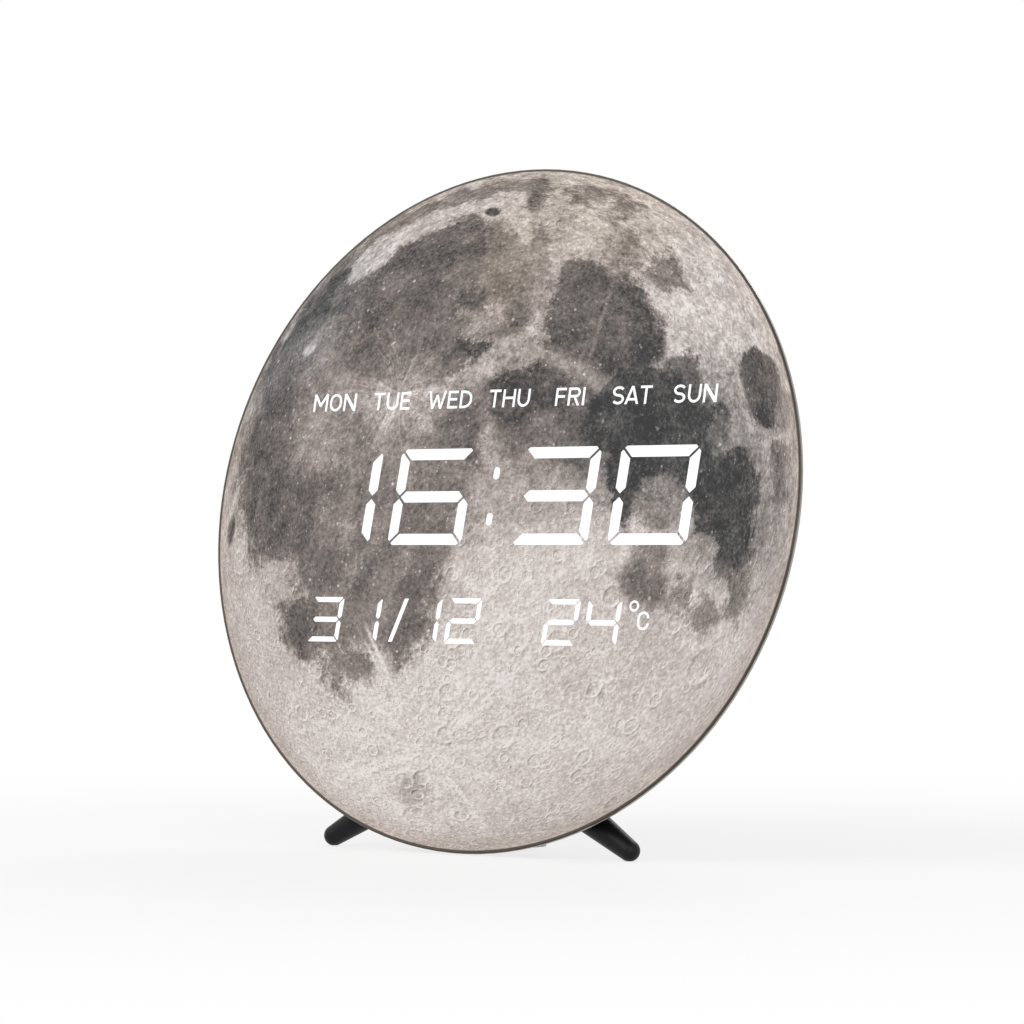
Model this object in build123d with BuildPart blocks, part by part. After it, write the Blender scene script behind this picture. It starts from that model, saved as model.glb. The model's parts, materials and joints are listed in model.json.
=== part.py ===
from build123d import *
from math import acos, atan2, cos, hypot, radians, sin, sqrt, tan
import os

# Round LED desk clock: a thin leaning disc with a printed moon, standing on two pegs and a rear prop.
# Millimetres, +Z up, the face towards -Y, the origin on the table under the middle of the clock.

# Face disc
DISC_RADIUS = 125.0
PLATE_THICKNESS = 1.5
PLATE_BEVEL = 0.3
PRINT_THICKNESS = 0.3
PRINT_MARGIN = 0.4
LEAN_DEGREES = 10.3
DISC_GAP = 0.3

# Layers behind the face
TAPE_THICKNESS = 1.0
TAPE_MARGIN = 0.4
FILM_THICKNESS = 0.4
REFLECTOR_THICKNESS = 9.0
BOARD_THICKNESS = 1.6

# Lit digits: size between the middles of the strokes, and where each stands on the face
DIGIT_SLANT_DEGREES = 4.2
BIG_WIDTH = 28.6
BIG_HEIGHT = 31.4
BIG_BAR = 4.1
BIG_SPLIT = 0.9
BIG_CORNER = 2.2
BIG_ROW = 3.7
TIME_X = -1.2
BIG_INNER_X = 26.9
BIG_OUTER_X = 67.9
COLON_WIDTH = 2.6
COLON_HEIGHT = 4.5
COLON_SPACING = 16.8
SMALL_WIDTH = 12.1
SMALL_HEIGHT = 14.7
SMALL_BAR = 1.9
SMALL_SPLIT = 0.45
SMALL_CORNER = 0.9
SMALL_ROW = -41.8
DAY_X = -69.8
MONTH_X = -26.0
WARMTH_X = 33.1
SMALL_PITCH = 17.3
SLASH_X = -37.1
SLASH_RUN = 5.6
SLASH_RISE = 15.9
SLASH_BAR = 1.8
RING_X = 62.9
RING_ROW = -35.7
RING_RADIUS = 2.0
RING_BAR = 0.8
LETTER_X = 67.1
LETTER_ROW = -40.9
LETTER_WIDTH = 4.8
LETTER_HEIGHT = 6.6
LETTER_BAR = 0.9
WEEKDAY_COUNT = 7
WEEKDAY_X = 1.7
WEEKDAY_PITCH = 26.1
WEEKDAY_ROW = 39.8
WEEKDAY_CELL_WIDTH = 22.0
WEEKDAY_CELL_HEIGHT = 9.0
LED_LENGTH = 1.6
LED_WIDTH = 0.8
LED_THICKNESS = 0.6

# Display block and its board
REFLECTOR_TOP = 47.5
REFLECTOR_BOTTOM = -55.0
BOARD_TOP = 54.0
BOARD_BOTTOM = -60.0
BOARD_WALL_GAP = 1.2
POST_RADIUS = 3.2
POST_INSET = 4.6
POST_DEGREES = 14.0
POST_REFLECTOR_GAP = 1.36

# Housing and rear cover
HOUSING_RADIUS = 106.0
HOUSING_WALL = 2.4
HOUSING_DEPTH = 20.0
FLANGE_WIDTH = 6.5
FLANGE_THICKNESS = 2.0
COVER_THICKNESS = 3.0
COVER_FILLET = 2.4
BOSS_RADIUS = 4.0
BOSS_SEAT = 0.6
BOSS_ANGLES = (45.0, 90.0, 135.0, 225.0, 270.0, 315.0)

# Screws
SCREW_RADIUS = 1.3
SCREW_HEAD_RADIUS = 2.5
SCREW_HEAD_THICKNESS = 1.5
SCREW_RECESS_WIDTH = 0.35
SCREW_RECESS_DEPTH = 0.7
SCREW_FIT = 0.02
SCREW_HOLE_EASE = 0.2
SCREW_TIP_GAP = 0.5
COVER_SCREW_LENGTH = 9.0
BOARD_SCREW_LENGTH = 5.5
BRACKET_SCREW_LENGTH = 4.4
COUNTERBORE_DEPTH = 1.6
COUNTERBORE_EASE = 0.35

# Pegs
LEG_TIP_X = 63.5
LEG_TIP_RADIUS = 3.8
LEG_FOOT_FLAT = 0.2
LEG_DROP_DEGREES = 30.6
LEG_ROOT_RADIUS = 6.1
LEG_ROOT_CHAMFER = 0.6
SPIGOT_RADIUS = 4.0
SPIGOT_LENGTH = 20.0
SPIGOT_CHAMFER = 0.8
SPIGOT_FIT = 0.05
SOCKET_WALL = 2.55
SOCKET_FLOOR = 3.0
SOCKET_TAPE_GAP = 1.6
LEG_EASE = 0.3

# Rear prop
PROP_HINGE_ROW = -76.0
PROP_HINGE_STANDOFF = 5.0
PROP_FOOT_REACH = 25.0
PROP_THICKNESS = 5.0
PROP_WIDTH = 15.4
PROP_FOOT_WIDTH = 7.0
PROP_KNUCKLE_RADIUS = 4.0
PROP_PIN_RADIUS = 1.5
PROP_PIN_FIT = 0.05
PROP_EAR_THICKNESS = 3.0
BRACKET_FOOT_WIDTH = 9.0
BRACKET_FOOT_THICKNESS = 1.8
PROP_EASE = 0.3
PROP_GROOVE_WIDTH = 4.0
PROP_GROOVE_DEPTH = 1.2
PROP_GROOVE_END = 9.0
FOOT_THICKNESS = 3.0
FOOT_LENGTH = 7.0

# Keys on the back
BUTTON_NAMES = ("set", "up", "down", "alarm")
BUTTON_PITCH = 22.0
BUTTON_ROW = 38.0
BUTTON_RADIUS = 4.0
BUTTON_STAND = 1.3
BUTTON_DISH = 0.5
BUTTON_FLANGE = 1.2
BUTTON_FLANGE_THICKNESS = 1.0
BUTTON_STEM_RADIUS = 1.6
BUTTON_TRAVEL = 0.8
BUTTON_EASE = 0.3
SWITCH_SIZE = 6.2
SWITCH_HEIGHT = 6.0
SWITCH_WELL_SPARE = 0.8
STEM_REACH = 1.4

# Backup cell and its turning cap
CELL_X = -58.0
CELL_ROW = -8.0
CELL_RADIUS = 10.0
CELL_THICKNESS = 3.2
CELL_FIT = 0.1
HOLDER_WALL = 1.6
HOLDER_LIP = 1.2
HOLDER_BASE = 4.6
CAP_RADIUS = 12.0
CAP_EASE = 0.3
CAP_SKIRT = 1.8
CAP_LUG_REACH = 2.4
CAP_LUG_WIDTH = 6.0
CAP_SLOT_LENGTH = 12.0
CAP_SLOT_WIDTH = 1.8
CAP_SLOT_DEPTH = 1.0
CAP_TURN_DEGREES = 60.0

# Power inlet
JACK_X = 56.0
JACK_ROW = -30.0
JACK_WIDTH = 9.0
JACK_HEIGHT = 3.3
JACK_WALL = 0.35
JACK_BASE = 3.0
JACK_RECESS = 0.8
JACK_TONGUE_WIDTH = 6.7
JACK_TONGUE_THICKNESS = 0.7
JACK_TONGUE_SHORT = 1.0
JACK_EASE = 0.4

# Other parts on the back of the board
BUZZER_X = 58.0
BUZZER_ROW = 8.0
BUZZER_RADIUS = 6.0
BUZZER_HEIGHT = 6.5
BUZZER_PORT_RADIUS = 1.0
BUZZER_PORT_DEPTH = 2.0
SOUND_HOLE_RADIUS = 0.9
SOUND_RING_RADIUS = 4.2
SOUND_HOLE_COUNT = 8
SENSOR_X = -24.0
SENSOR_ROW = -34.0
SENSOR_WIDTH = 4.6
SENSOR_DEPTH = 3.6
SENSOR_HEIGHT = 4.8
VENT_LENGTH = 16.0
VENT_WIDTH = 1.6
VENT_PITCH = 4.0
VENT_COUNT = 5
CHIP_SIZE = 9.0
CHIP_THICKNESS = 1.4
CHIP_X = 0.0
CHIP_ROW = 8.0
DRIVER_LENGTH = 10.2
DRIVER_WIDTH = 5.3
DRIVER_THICKNESS = 1.8
DRIVER_SPACING = 29.0
DRIVER_ROW = 10.0
CAPACITOR_X = 30.0
CAPACITOR_ROW = -22.0
CAPACITOR_RADIUS = 3.2
CAPACITOR_HEIGHT = 7.0
CAPACITOR_FILLET = 0.5

# Hanging keyhole
KEYHOLE_ROW = 70.0
KEYHOLE_HEAD_RADIUS = 4.5
KEYHOLE_NECK_RADIUS = 2.2
KEYHOLE_DROP = 10.0

# Depth of each layer's back, measured straight back from the face
PRINT_BACK = PRINT_THICKNESS
PLATE_BACK = PRINT_BACK + PLATE_THICKNESS
TAPE_BACK = PLATE_BACK + TAPE_THICKNESS
FILM_BACK = PLATE_BACK + FILM_THICKNESS
REFLECTOR_BACK = FILM_BACK + REFLECTOR_THICKNESS
BOARD_BACK = REFLECTOR_BACK + BOARD_THICKNESS
HOUSING_BACK = TAPE_BACK + HOUSING_DEPTH
COVER_BACK = HOUSING_BACK + COVER_THICKNESS
HOUSING_INNER = HOUSING_RADIUS - HOUSING_WALL
FLANGE_INNER = HOUSING_RADIUS - FLANGE_WIDTH

# Place of the face: the disc's lowest edge clears the table, and the origin is midway front to back
LEAN_SIN = sin(radians(LEAN_DEGREES))
LEAN_COS = cos(radians(LEAN_DEGREES))
PRINT_RADIUS = DISC_RADIUS - PRINT_MARGIN
FRONT_REACH = PRINT_RADIUS * LEAN_SIN
ROUND_CENTRE_REACH = (HOUSING_RADIUS - COVER_FILLET) * LEAN_SIN + (COVER_BACK - COVER_FILLET) * LEAN_COS
BACK_REACH = ROUND_CENTRE_REACH + COVER_FILLET
FACE_Y = (FRONT_REACH - BACK_REACH) / 2
FACE_HEIGHT = DISC_RADIUS * LEAN_COS + PLATE_BACK * LEAN_SIN + DISC_GAP
FACE = Plane(origin=(0, FACE_Y, FACE_HEIGHT), x_dir=(1, 0, 0), z_dir=(0, -LEAN_COS, LEAN_SIN))

# Upright plane through the middle, with x as the depth behind the face and y up the face
SIDE = Plane(origin=FACE.origin, x_dir=(0, LEAN_COS, -LEAN_SIN), z_dir=(1, 0, 0))


def behind(depth):
    """The plane that lies this far behind the face, turned as the face is."""
    return FACE.offset(-depth)


# Strokes that each digit lights, by the usual letters from the top round to the middle
ALL_STROKES = "abcdefg"
LIT_STROKES = {"0": "abcdef", "1": "bc", "2": "abged", "3": "abgcd", "4": "fgbc", "6": "afgedc"}
MIRRORED = {"a": (1, 1), "d": (1, -1), "b": (1, 1), "c": (1, -1), "e": (-1, -1), "f": (-1, 1), "g": (1, 1)}
BIG_SIZE = (BIG_WIDTH, BIG_HEIGHT, BIG_BAR, BIG_SPLIT, BIG_CORNER)
SMALL_SIZE = (SMALL_WIDTH, SMALL_HEIGHT, SMALL_BAR, SMALL_SPLIT, SMALL_CORNER)
BIG_PLACES = (("1", -BIG_OUTER_X), ("6", -BIG_INNER_X), ("3", BIG_INNER_X), ("0", BIG_OUTER_X))
BIG_DIGITS = [(digit, TIME_X + aside) for digit, aside in BIG_PLACES]
DATE_DIGITS = (("3", DAY_X), ("1", DAY_X + SMALL_PITCH), ("1", MONTH_X), ("2", MONTH_X + SMALL_PITCH))
TEMPERATURE_DIGITS = (("2", WARMTH_X), ("4", WARMTH_X + SMALL_PITCH))
SLANT = tan(radians(DIGIT_SLANT_DEGREES))


def stroke_outline(stroke, size, centre_x, centre_y):
    """Corners of one stroke of a digit, mitred where it meets its neighbours and slanted."""
    width, height, bar, split, corner = size
    side = width / 2
    half = bar / 2
    outer_x = side + half
    outer_y = height / 2 + half
    cut = split / 2**0.5
    if stroke in "ad":
        right = [
            (outer_x - corner, outer_y),
            (outer_x - (corner + cut) / 2, outer_y - (corner - cut) / 2),
            (outer_x - bar - cut, outer_y - bar),
        ]
        corners = right + [(-x, y) for x, y in reversed(right)]
    elif stroke == "g":
        right = [(side - cut - half, half), (side - cut, 0), (side - cut - half, -half)]
        corners = right + [(-x, y) for x, y in reversed(right)]
    else:
        corners = [
            (outer_x, outer_y - corner),
            (outer_x, half + cut),
            (side, cut),
            (side - half, half + cut),
            (side - half, outer_y - bar - cut),
            (outer_x - (corner - cut) / 2, outer_y - (corner + cut) / 2),
        ]
    flip_x, flip_y = MIRRORED[stroke]
    flipped = [(x * flip_x, y * flip_y) for x, y in corners]
    return [(centre_x + x + y * SLANT, centre_y + y) for x, y in flipped]


def stroke_middle(stroke, size, centre_x, centre_y):
    """Middle of one stroke of a digit, and the way that it runs in degrees."""
    width, height = size[0], size[1]
    flip_x, flip_y = MIRRORED[stroke]
    if stroke in "ad":
        x, y, turn = 0, flip_y * height / 2, 0
    elif stroke == "g":
        x, y, turn = 0, 0, 0
    else:
        x, y, turn = flip_x * width / 2, flip_y * height / 4, 90
    return centre_x + x + y * SLANT, centre_y + y, turn


def draw_row(digits, size, row, lit=True):
    """Draws a row of digits in the open sketch, with their lit strokes or with every stroke."""
    for digit, digit_x in digits:
        for stroke in LIT_STROKES[digit] if lit else ALL_STROKES:
            Polygon(*stroke_outline(stroke, size, digit_x, row), align=None)


def draw_time(lit=True):
    """The hour and minute digits, with the colon between them."""
    draw_row(BIG_DIGITS, BIG_SIZE, BIG_ROW, lit)
    for step in (-1, 1):
        dot_y = step * COLON_SPACING / 2
        with Locations((TIME_X + dot_y * SLANT, BIG_ROW + dot_y)):
            SlotOverall(COLON_HEIGHT, COLON_WIDTH, rotation=90 - DIGIT_SLANT_DEGREES)


def draw_date(lit=True):
    """The day and month digits, with the slash between them."""
    draw_row(DATE_DIGITS, SMALL_SIZE, SMALL_ROW, lit)
    foot = SLASH_X - SLASH_RUN / 2 - SLASH_BAR / 2
    low = SMALL_ROW - SLASH_RISE / 2
    across = (SLASH_BAR, 0)
    up = (SLASH_RUN, SLASH_RISE)
    corners = [
        (foot, low),
        (foot + across[0], low),
        (foot + across[0] + up[0], low + up[1]),
        (foot + up[0], low + up[1]),
    ]
    Polygon(*corners, align=None)


def draw_temperature(lit=True):
    """The degree digits, with the small ring and the letter after them."""
    draw_row(TEMPERATURE_DIGITS, SMALL_SIZE, SMALL_ROW, lit)
    with Locations((RING_X, RING_ROW)):
        Circle(RING_RADIUS)
        Circle(RING_RADIUS - RING_BAR, mode=Mode.SUBTRACT)
    with Locations((LETTER_X, LETTER_ROW)):
        SlotOverall(LETTER_HEIGHT, LETTER_WIDTH, rotation=90)
        inner_height = LETTER_HEIGHT - 2 * LETTER_BAR
        SlotOverall(inner_height, LETTER_WIDTH - 2 * LETTER_BAR, rotation=90, mode=Mode.SUBTRACT)
        mouth = LETTER_HEIGHT - LETTER_WIDTH
        Rectangle(LETTER_WIDTH, mouth, align=(Align.MIN, Align.CENTER), mode=Mode.SUBTRACT)


def weekday_cells():
    """Middles of the seven light cells behind the weekday row."""
    first = -(WEEKDAY_COUNT - 1) / 2
    return [(WEEKDAY_X + (first + day) * WEEKDAY_PITCH, WEEKDAY_ROW) for day in range(WEEKDAY_COUNT)]


def on_circle(radius, angles):
    """Points at these angles on a circle about the middle of the face."""
    return [(radius * cos(radians(angle)), radius * sin(radians(angle))) for angle in angles]


BOSS_PLACES = on_circle(HOUSING_INNER - BOSS_RADIUS + BOSS_SEAT, BOSS_ANGLES)
POST_ANGLES = (POST_DEGREES, 180 - POST_DEGREES, 180 + POST_DEGREES, 360 - POST_DEGREES)
POST_PLACES = on_circle(HOUSING_INNER - POST_INSET, POST_ANGLES)
REFLECTOR_HALF_WIDTH = POST_PLACES[0][0] - POST_RADIUS - POST_REFLECTOR_GAP
BUTTON_PLACES = [
    ((index - (len(BUTTON_NAMES) - 1) / 2) * BUTTON_PITCH, BUTTON_ROW) for index in range(len(BUTTON_NAMES))
]

os.makedirs("parts", exist_ok=True)


def save(part, name):
    """Labels a finished piece and writes it."""
    part.label = name
    export_step(part, f"parts/{name}.step")


# Clear plate of the face, with a fine bevel round its front
with BuildPart() as face_plate:
    with BuildSketch(behind(PRINT_BACK)):
        Circle(DISC_RADIUS)
    extrude(amount=-PLATE_THICKNESS)
    chamfer(face_plate.faces().sort_by(Axis(FACE.origin, FACE.z_dir))[-1].edges(), PLATE_BEVEL)
save(face_plate.part, "face_plate")

# Printed moon film on the front of the plate, with a window for each lit stroke
with BuildPart() as moon_print:
    with BuildSketch(FACE):
        Circle(PRINT_RADIUS)
    extrude(amount=-PRINT_THICKNESS)
    with BuildSketch(FACE):
        draw_time()
        draw_date()
        draw_temperature()
    extrude(amount=-PRINT_THICKNESS, mode=Mode.SUBTRACT)
save(moon_print.part, "moon_print")

# Lit strokes of the time
with BuildPart() as time_lights:
    with BuildSketch(FACE):
        draw_time()
    extrude(amount=-PRINT_THICKNESS)
save(time_lights.part, "time_lights")

# Lit strokes of the date
with BuildPart() as date_lights:
    with BuildSketch(FACE):
        draw_date()
    extrude(amount=-PRINT_THICKNESS)
save(date_lights.part, "date_lights")

# Lit strokes of the temperature
with BuildPart() as temperature_lights:
    with BuildSketch(FACE):
        draw_temperature()
    extrude(amount=-PRINT_THICKNESS)
save(temperature_lights.part, "temperature_lights")

# Foam tape that bonds the plate to the housing's flange
with BuildPart() as tape_ring:
    with BuildSketch(behind(PLATE_BACK)):
        Circle(HOUSING_RADIUS - TAPE_MARGIN)
        Circle(FLANGE_INNER + TAPE_MARGIN, mode=Mode.SUBTRACT)
    extrude(amount=-TAPE_THICKNESS)
save(tape_ring.part, "tape_ring")


def draw_display_block():
    """Outline of the display block: a wide rectangle with its corners inside the flange."""
    with Locations((0, (REFLECTOR_TOP + REFLECTOR_BOTTOM) / 2)):
        Rectangle(2 * REFLECTOR_HALF_WIDTH, REFLECTOR_TOP - REFLECTOR_BOTTOM)
    Circle(FLANGE_INNER - TAPE_MARGIN, mode=Mode.INTERSECT)


# Opal film between the plate and the light cells
with BuildPart() as diffuser_film:
    with BuildSketch(behind(PLATE_BACK)):
        draw_display_block()
    extrude(amount=-FILM_THICKNESS)
save(diffuser_film.part, "diffuser_film")

# White block with one light cell for each stroke and each weekday
with BuildPart() as reflector:
    with BuildSketch(behind(FILM_BACK)):
        draw_display_block()
    extrude(amount=-REFLECTOR_THICKNESS)
    with BuildSketch(behind(FILM_BACK)):
        draw_time(lit=False)
        draw_date(lit=False)
        draw_row(TEMPERATURE_DIGITS, SMALL_SIZE, SMALL_ROW, lit=False)
        with Locations((RING_X, RING_ROW)):
            Circle(RING_RADIUS)
        with Locations((LETTER_X, LETTER_ROW)):
            SlotOverall(LETTER_HEIGHT, LETTER_WIDTH, rotation=90)
        with Locations(*weekday_cells()):
            Rectangle(WEEKDAY_CELL_WIDTH, WEEKDAY_CELL_HEIGHT)
    extrude(amount=-REFLECTOR_THICKNESS, mode=Mode.SUBTRACT)
save(reflector.part, "reflector")

# Circuit board behind the light cells, screwed to four posts
with BuildPart() as led_board:
    with BuildSketch(behind(REFLECTOR_BACK)):
        with Locations((0, (BOARD_TOP + BOARD_BOTTOM) / 2)):
            Rectangle(2 * HOUSING_RADIUS, BOARD_TOP - BOARD_BOTTOM)
        Circle(HOUSING_INNER - BOARD_WALL_GAP, mode=Mode.INTERSECT)
        with Locations(*POST_PLACES):
            Circle(SCREW_RADIUS + SCREW_HOLE_EASE, mode=Mode.SUBTRACT)
    extrude(amount=-BOARD_THICKNESS)
save(led_board.part, "led_board")

# One small LED on the board in the middle of each cell
LED_ROWS = ((BIG_DIGITS, BIG_SIZE, BIG_ROW), (DATE_DIGITS + TEMPERATURE_DIGITS, SMALL_SIZE, SMALL_ROW))
with BuildPart() as leds:
    with BuildSketch(behind(REFLECTOR_BACK)):
        for digits, size, row in LED_ROWS:
            for digit, digit_x in digits:
                for stroke in ALL_STROKES:
                    led_x, led_y, led_turn = stroke_middle(stroke, size, digit_x, row)
                    with Locations((led_x, led_y)):
                        Rectangle(LED_LENGTH, LED_WIDTH, rotation=led_turn)
        for step in (-1, 1):
            dot_y = step * COLON_SPACING / 2
            with Locations((TIME_X + dot_y * SLANT, BIG_ROW + dot_y)):
                Rectangle(LED_LENGTH, LED_WIDTH, rotation=90)
        with Locations((SLASH_X, SMALL_ROW)):
            Rectangle(LED_WIDTH, LED_WIDTH)
        with Locations((RING_X, RING_ROW), (LETTER_X, LETTER_ROW), *weekday_cells()):
            Rectangle(LED_LENGTH, LED_WIDTH)
    extrude(amount=LED_THICKNESS)
save(leds.part, "leds")

# Main chip on the back of the board
with BuildPart() as controller_chip:
    with BuildSketch(behind(BOARD_BACK)):
        with Locations((CHIP_X, CHIP_ROW)):
            Rectangle(CHIP_SIZE, CHIP_SIZE)
    extrude(amount=-CHIP_THICKNESS)
save(controller_chip.part, "controller_chip")

# LED driver chips, one each side of the main chip
with BuildPart() as driver_chips:
    with BuildSketch(behind(BOARD_BACK)):
        with Locations((-DRIVER_SPACING, DRIVER_ROW), (DRIVER_SPACING, DRIVER_ROW)):
            Rectangle(DRIVER_LENGTH, DRIVER_WIDTH)
    extrude(amount=-DRIVER_THICKNESS)
save(driver_chips.part, "driver_chips")

# Can capacitor of the power supply
with BuildPart() as capacitor:
    with BuildSketch(behind(BOARD_BACK)):
        with Locations((CAPACITOR_X, CAPACITOR_ROW)):
            Circle(CAPACITOR_RADIUS)
    extrude(amount=-CAPACITOR_HEIGHT)
    fillet(capacitor.faces().sort_by(Axis(FACE.origin, FACE.z_dir))[0].edges(), CAPACITOR_FILLET)
save(capacitor.part, "capacitor")

# Key switches, each with a well for the key's stem and its travel
SWITCH_WELL_DEPTH = STEM_REACH + BUTTON_TRAVEL + SWITCH_WELL_SPARE
with BuildPart() as tact_switches:
    with BuildSketch(behind(BOARD_BACK)):
        with Locations(*BUTTON_PLACES):
            Rectangle(SWITCH_SIZE, SWITCH_SIZE)
    extrude(amount=-SWITCH_HEIGHT)
    with BuildSketch(behind(BOARD_BACK + SWITCH_HEIGHT)):
        with Locations(*BUTTON_PLACES):
            Circle(BUTTON_STEM_RADIUS + BUTTON_EASE)
    extrude(amount=SWITCH_WELL_DEPTH, mode=Mode.SUBTRACT)
save(tact_switches.part, "tact_switches")

# Power inlet that stands on the board and opens through the rear cover
JACK_MOUTH = COVER_BACK - JACK_RECESS
with BuildPart() as power_jack:
    with BuildSketch(behind(BOARD_BACK)):
        with Locations((JACK_X, JACK_ROW)):
            SlotOverall(JACK_WIDTH, JACK_HEIGHT)
    extrude(amount=BOARD_BACK - JACK_MOUTH)
    with BuildSketch(behind(BOARD_BACK + JACK_BASE)):
        with Locations((JACK_X, JACK_ROW)):
            SlotOverall(JACK_WIDTH - 2 * JACK_WALL, JACK_HEIGHT - 2 * JACK_WALL)
            Rectangle(JACK_TONGUE_WIDTH, JACK_TONGUE_THICKNESS, mode=Mode.SUBTRACT)
    extrude(amount=BOARD_BACK + JACK_BASE - JACK_MOUTH, mode=Mode.SUBTRACT)
    with BuildSketch(behind(JACK_MOUTH - JACK_TONGUE_SHORT)):
        with Locations((JACK_X, JACK_ROW)):
            Rectangle(JACK_TONGUE_WIDTH, JACK_TONGUE_THICKNESS)
    extrude(amount=-JACK_TONGUE_SHORT, mode=Mode.SUBTRACT)
save(power_jack.part, "power_jack")

# Cup that holds the backup cell on the board
HOLDER_FLOOR = BOARD_BACK + HOLDER_BASE
with BuildPart() as cell_holder:
    with BuildSketch(behind(BOARD_BACK)):
        with Locations((CELL_X, CELL_ROW)):
            Circle(CELL_RADIUS + CELL_FIT + HOLDER_WALL)
    extrude(amount=-HOLDER_BASE - HOLDER_LIP)
    with BuildSketch(behind(HOLDER_FLOOR)):
        with Locations((CELL_X, CELL_ROW)):
            Circle(CELL_RADIUS + CELL_FIT)
    extrude(amount=-HOLDER_LIP, mode=Mode.SUBTRACT)
save(cell_holder.part, "cell_holder")

# Backup coin cell
with BuildPart() as coin_cell:
    with BuildSketch(behind(HOLDER_FLOOR)):
        with Locations((CELL_X, CELL_ROW)):
            Circle(CELL_RADIUS)
    extrude(amount=-CELL_THICKNESS)
save(coin_cell.part, "coin_cell")

# Alarm sounder with its port towards the rear cover
with BuildPart() as buzzer:
    with BuildSketch(behind(BOARD_BACK)):
        with Locations((BUZZER_X, BUZZER_ROW)):
            Circle(BUZZER_RADIUS)
    extrude(amount=-BUZZER_HEIGHT)
    with BuildSketch(behind(BOARD_BACK + BUZZER_HEIGHT)):
        with Locations((BUZZER_X, BUZZER_ROW)):
            Circle(BUZZER_PORT_RADIUS)
    extrude(amount=BUZZER_PORT_DEPTH, mode=Mode.SUBTRACT)
save(buzzer.part, "buzzer")

# Temperature sensor beside the vents
with BuildPart() as temperature_sensor:
    with BuildSketch(behind(BOARD_BACK)):
        with Locations((SENSOR_X, SENSOR_ROW)):
            Rectangle(SENSOR_WIDTH, SENSOR_DEPTH)
    extrude(amount=-SENSOR_HEIGHT)
save(temperature_sensor.part, "temperature_sensor")

# Pegs: a round spigot in the housing, then a tapered body with a ball end
LEG_DEPTH = TAPE_BACK + SOCKET_TAPE_GAP + SPIGOT_RADIUS + SPIGOT_FIT + SOCKET_WALL
LEG_TIP_ROW = -(FACE_HEIGHT - LEG_DEPTH * LEAN_SIN - LEG_TIP_RADIUS + LEG_FOOT_FLAT) / LEAN_COS
LEG_DROP = radians(LEG_DROP_DEGREES)

# The body of a peg ends where the rim of its root clears the housing
RIM_X = LEG_TIP_X + LEG_ROOT_RADIUS * sin(LEG_DROP)
RIM_ROW = LEG_TIP_ROW + LEG_ROOT_RADIUS * cos(LEG_DROP)
RIM_ALONG = RIM_X * cos(LEG_DROP) - RIM_ROW * sin(LEG_DROP)
RIM_ASIDE = RIM_X * sin(LEG_DROP) + RIM_ROW * cos(LEG_DROP)
LEG_BODY = RIM_ALONG - sqrt((HOUSING_RADIUS + LEG_EASE) ** 2 - RIM_ASIDE**2)
LEG_TAPER = acos(LEG_TIP_RADIUS / hypot(LEG_ROOT_RADIUS, LEG_BODY)) - atan2(LEG_BODY, LEG_ROOT_RADIUS)


def leg_plane(side):
    """Plane along one peg, with its origin at the middle of the ball end and x pointing outwards."""
    along = (side * cos(LEG_DROP), -sin(LEG_DROP) * LEAN_SIN, -sin(LEG_DROP) * LEAN_COS)
    middle = FACE.from_local_coords((side * LEG_TIP_X, LEG_TIP_ROW, -LEG_DEPTH))
    return Plane(origin=middle, x_dir=along, z_dir=FACE.z_dir)


LEG_SIDES = {"leg_left": -1, "leg_right": 1}
for leg_name, side in LEG_SIDES.items():
    plane = leg_plane(side)
    ball_start = (LEG_TIP_RADIUS * sin(LEG_TAPER), LEG_TIP_RADIUS * cos(LEG_TAPER))
    spigot_end = -LEG_BODY - SPIGOT_LENGTH
    with BuildPart() as leg:
        with BuildSketch(plane):
            with BuildLine():
                Polyline(
                    (LEG_TIP_RADIUS, 0),
                    (spigot_end, 0),
                    (spigot_end, SPIGOT_RADIUS - SPIGOT_CHAMFER),
                    (spigot_end + SPIGOT_CHAMFER, SPIGOT_RADIUS),
                    (-LEG_BODY, SPIGOT_RADIUS),
                    (-LEG_BODY, LEG_ROOT_RADIUS - LEG_ROOT_CHAMFER),
                    (-LEG_BODY + LEG_ROOT_CHAMFER, LEG_ROOT_RADIUS - LEG_ROOT_CHAMFER * tan(LEG_TAPER)),
                    ball_start,
                )
                RadiusArc(ball_start, (LEG_TIP_RADIUS, 0), LEG_TIP_RADIUS)
            make_face()
        revolve(axis=Axis(plane.origin, plane.x_dir))
        split(bisect_by=Plane.XY, keep=Keep.TOP)
    save(leg.part, leg_name)

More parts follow.
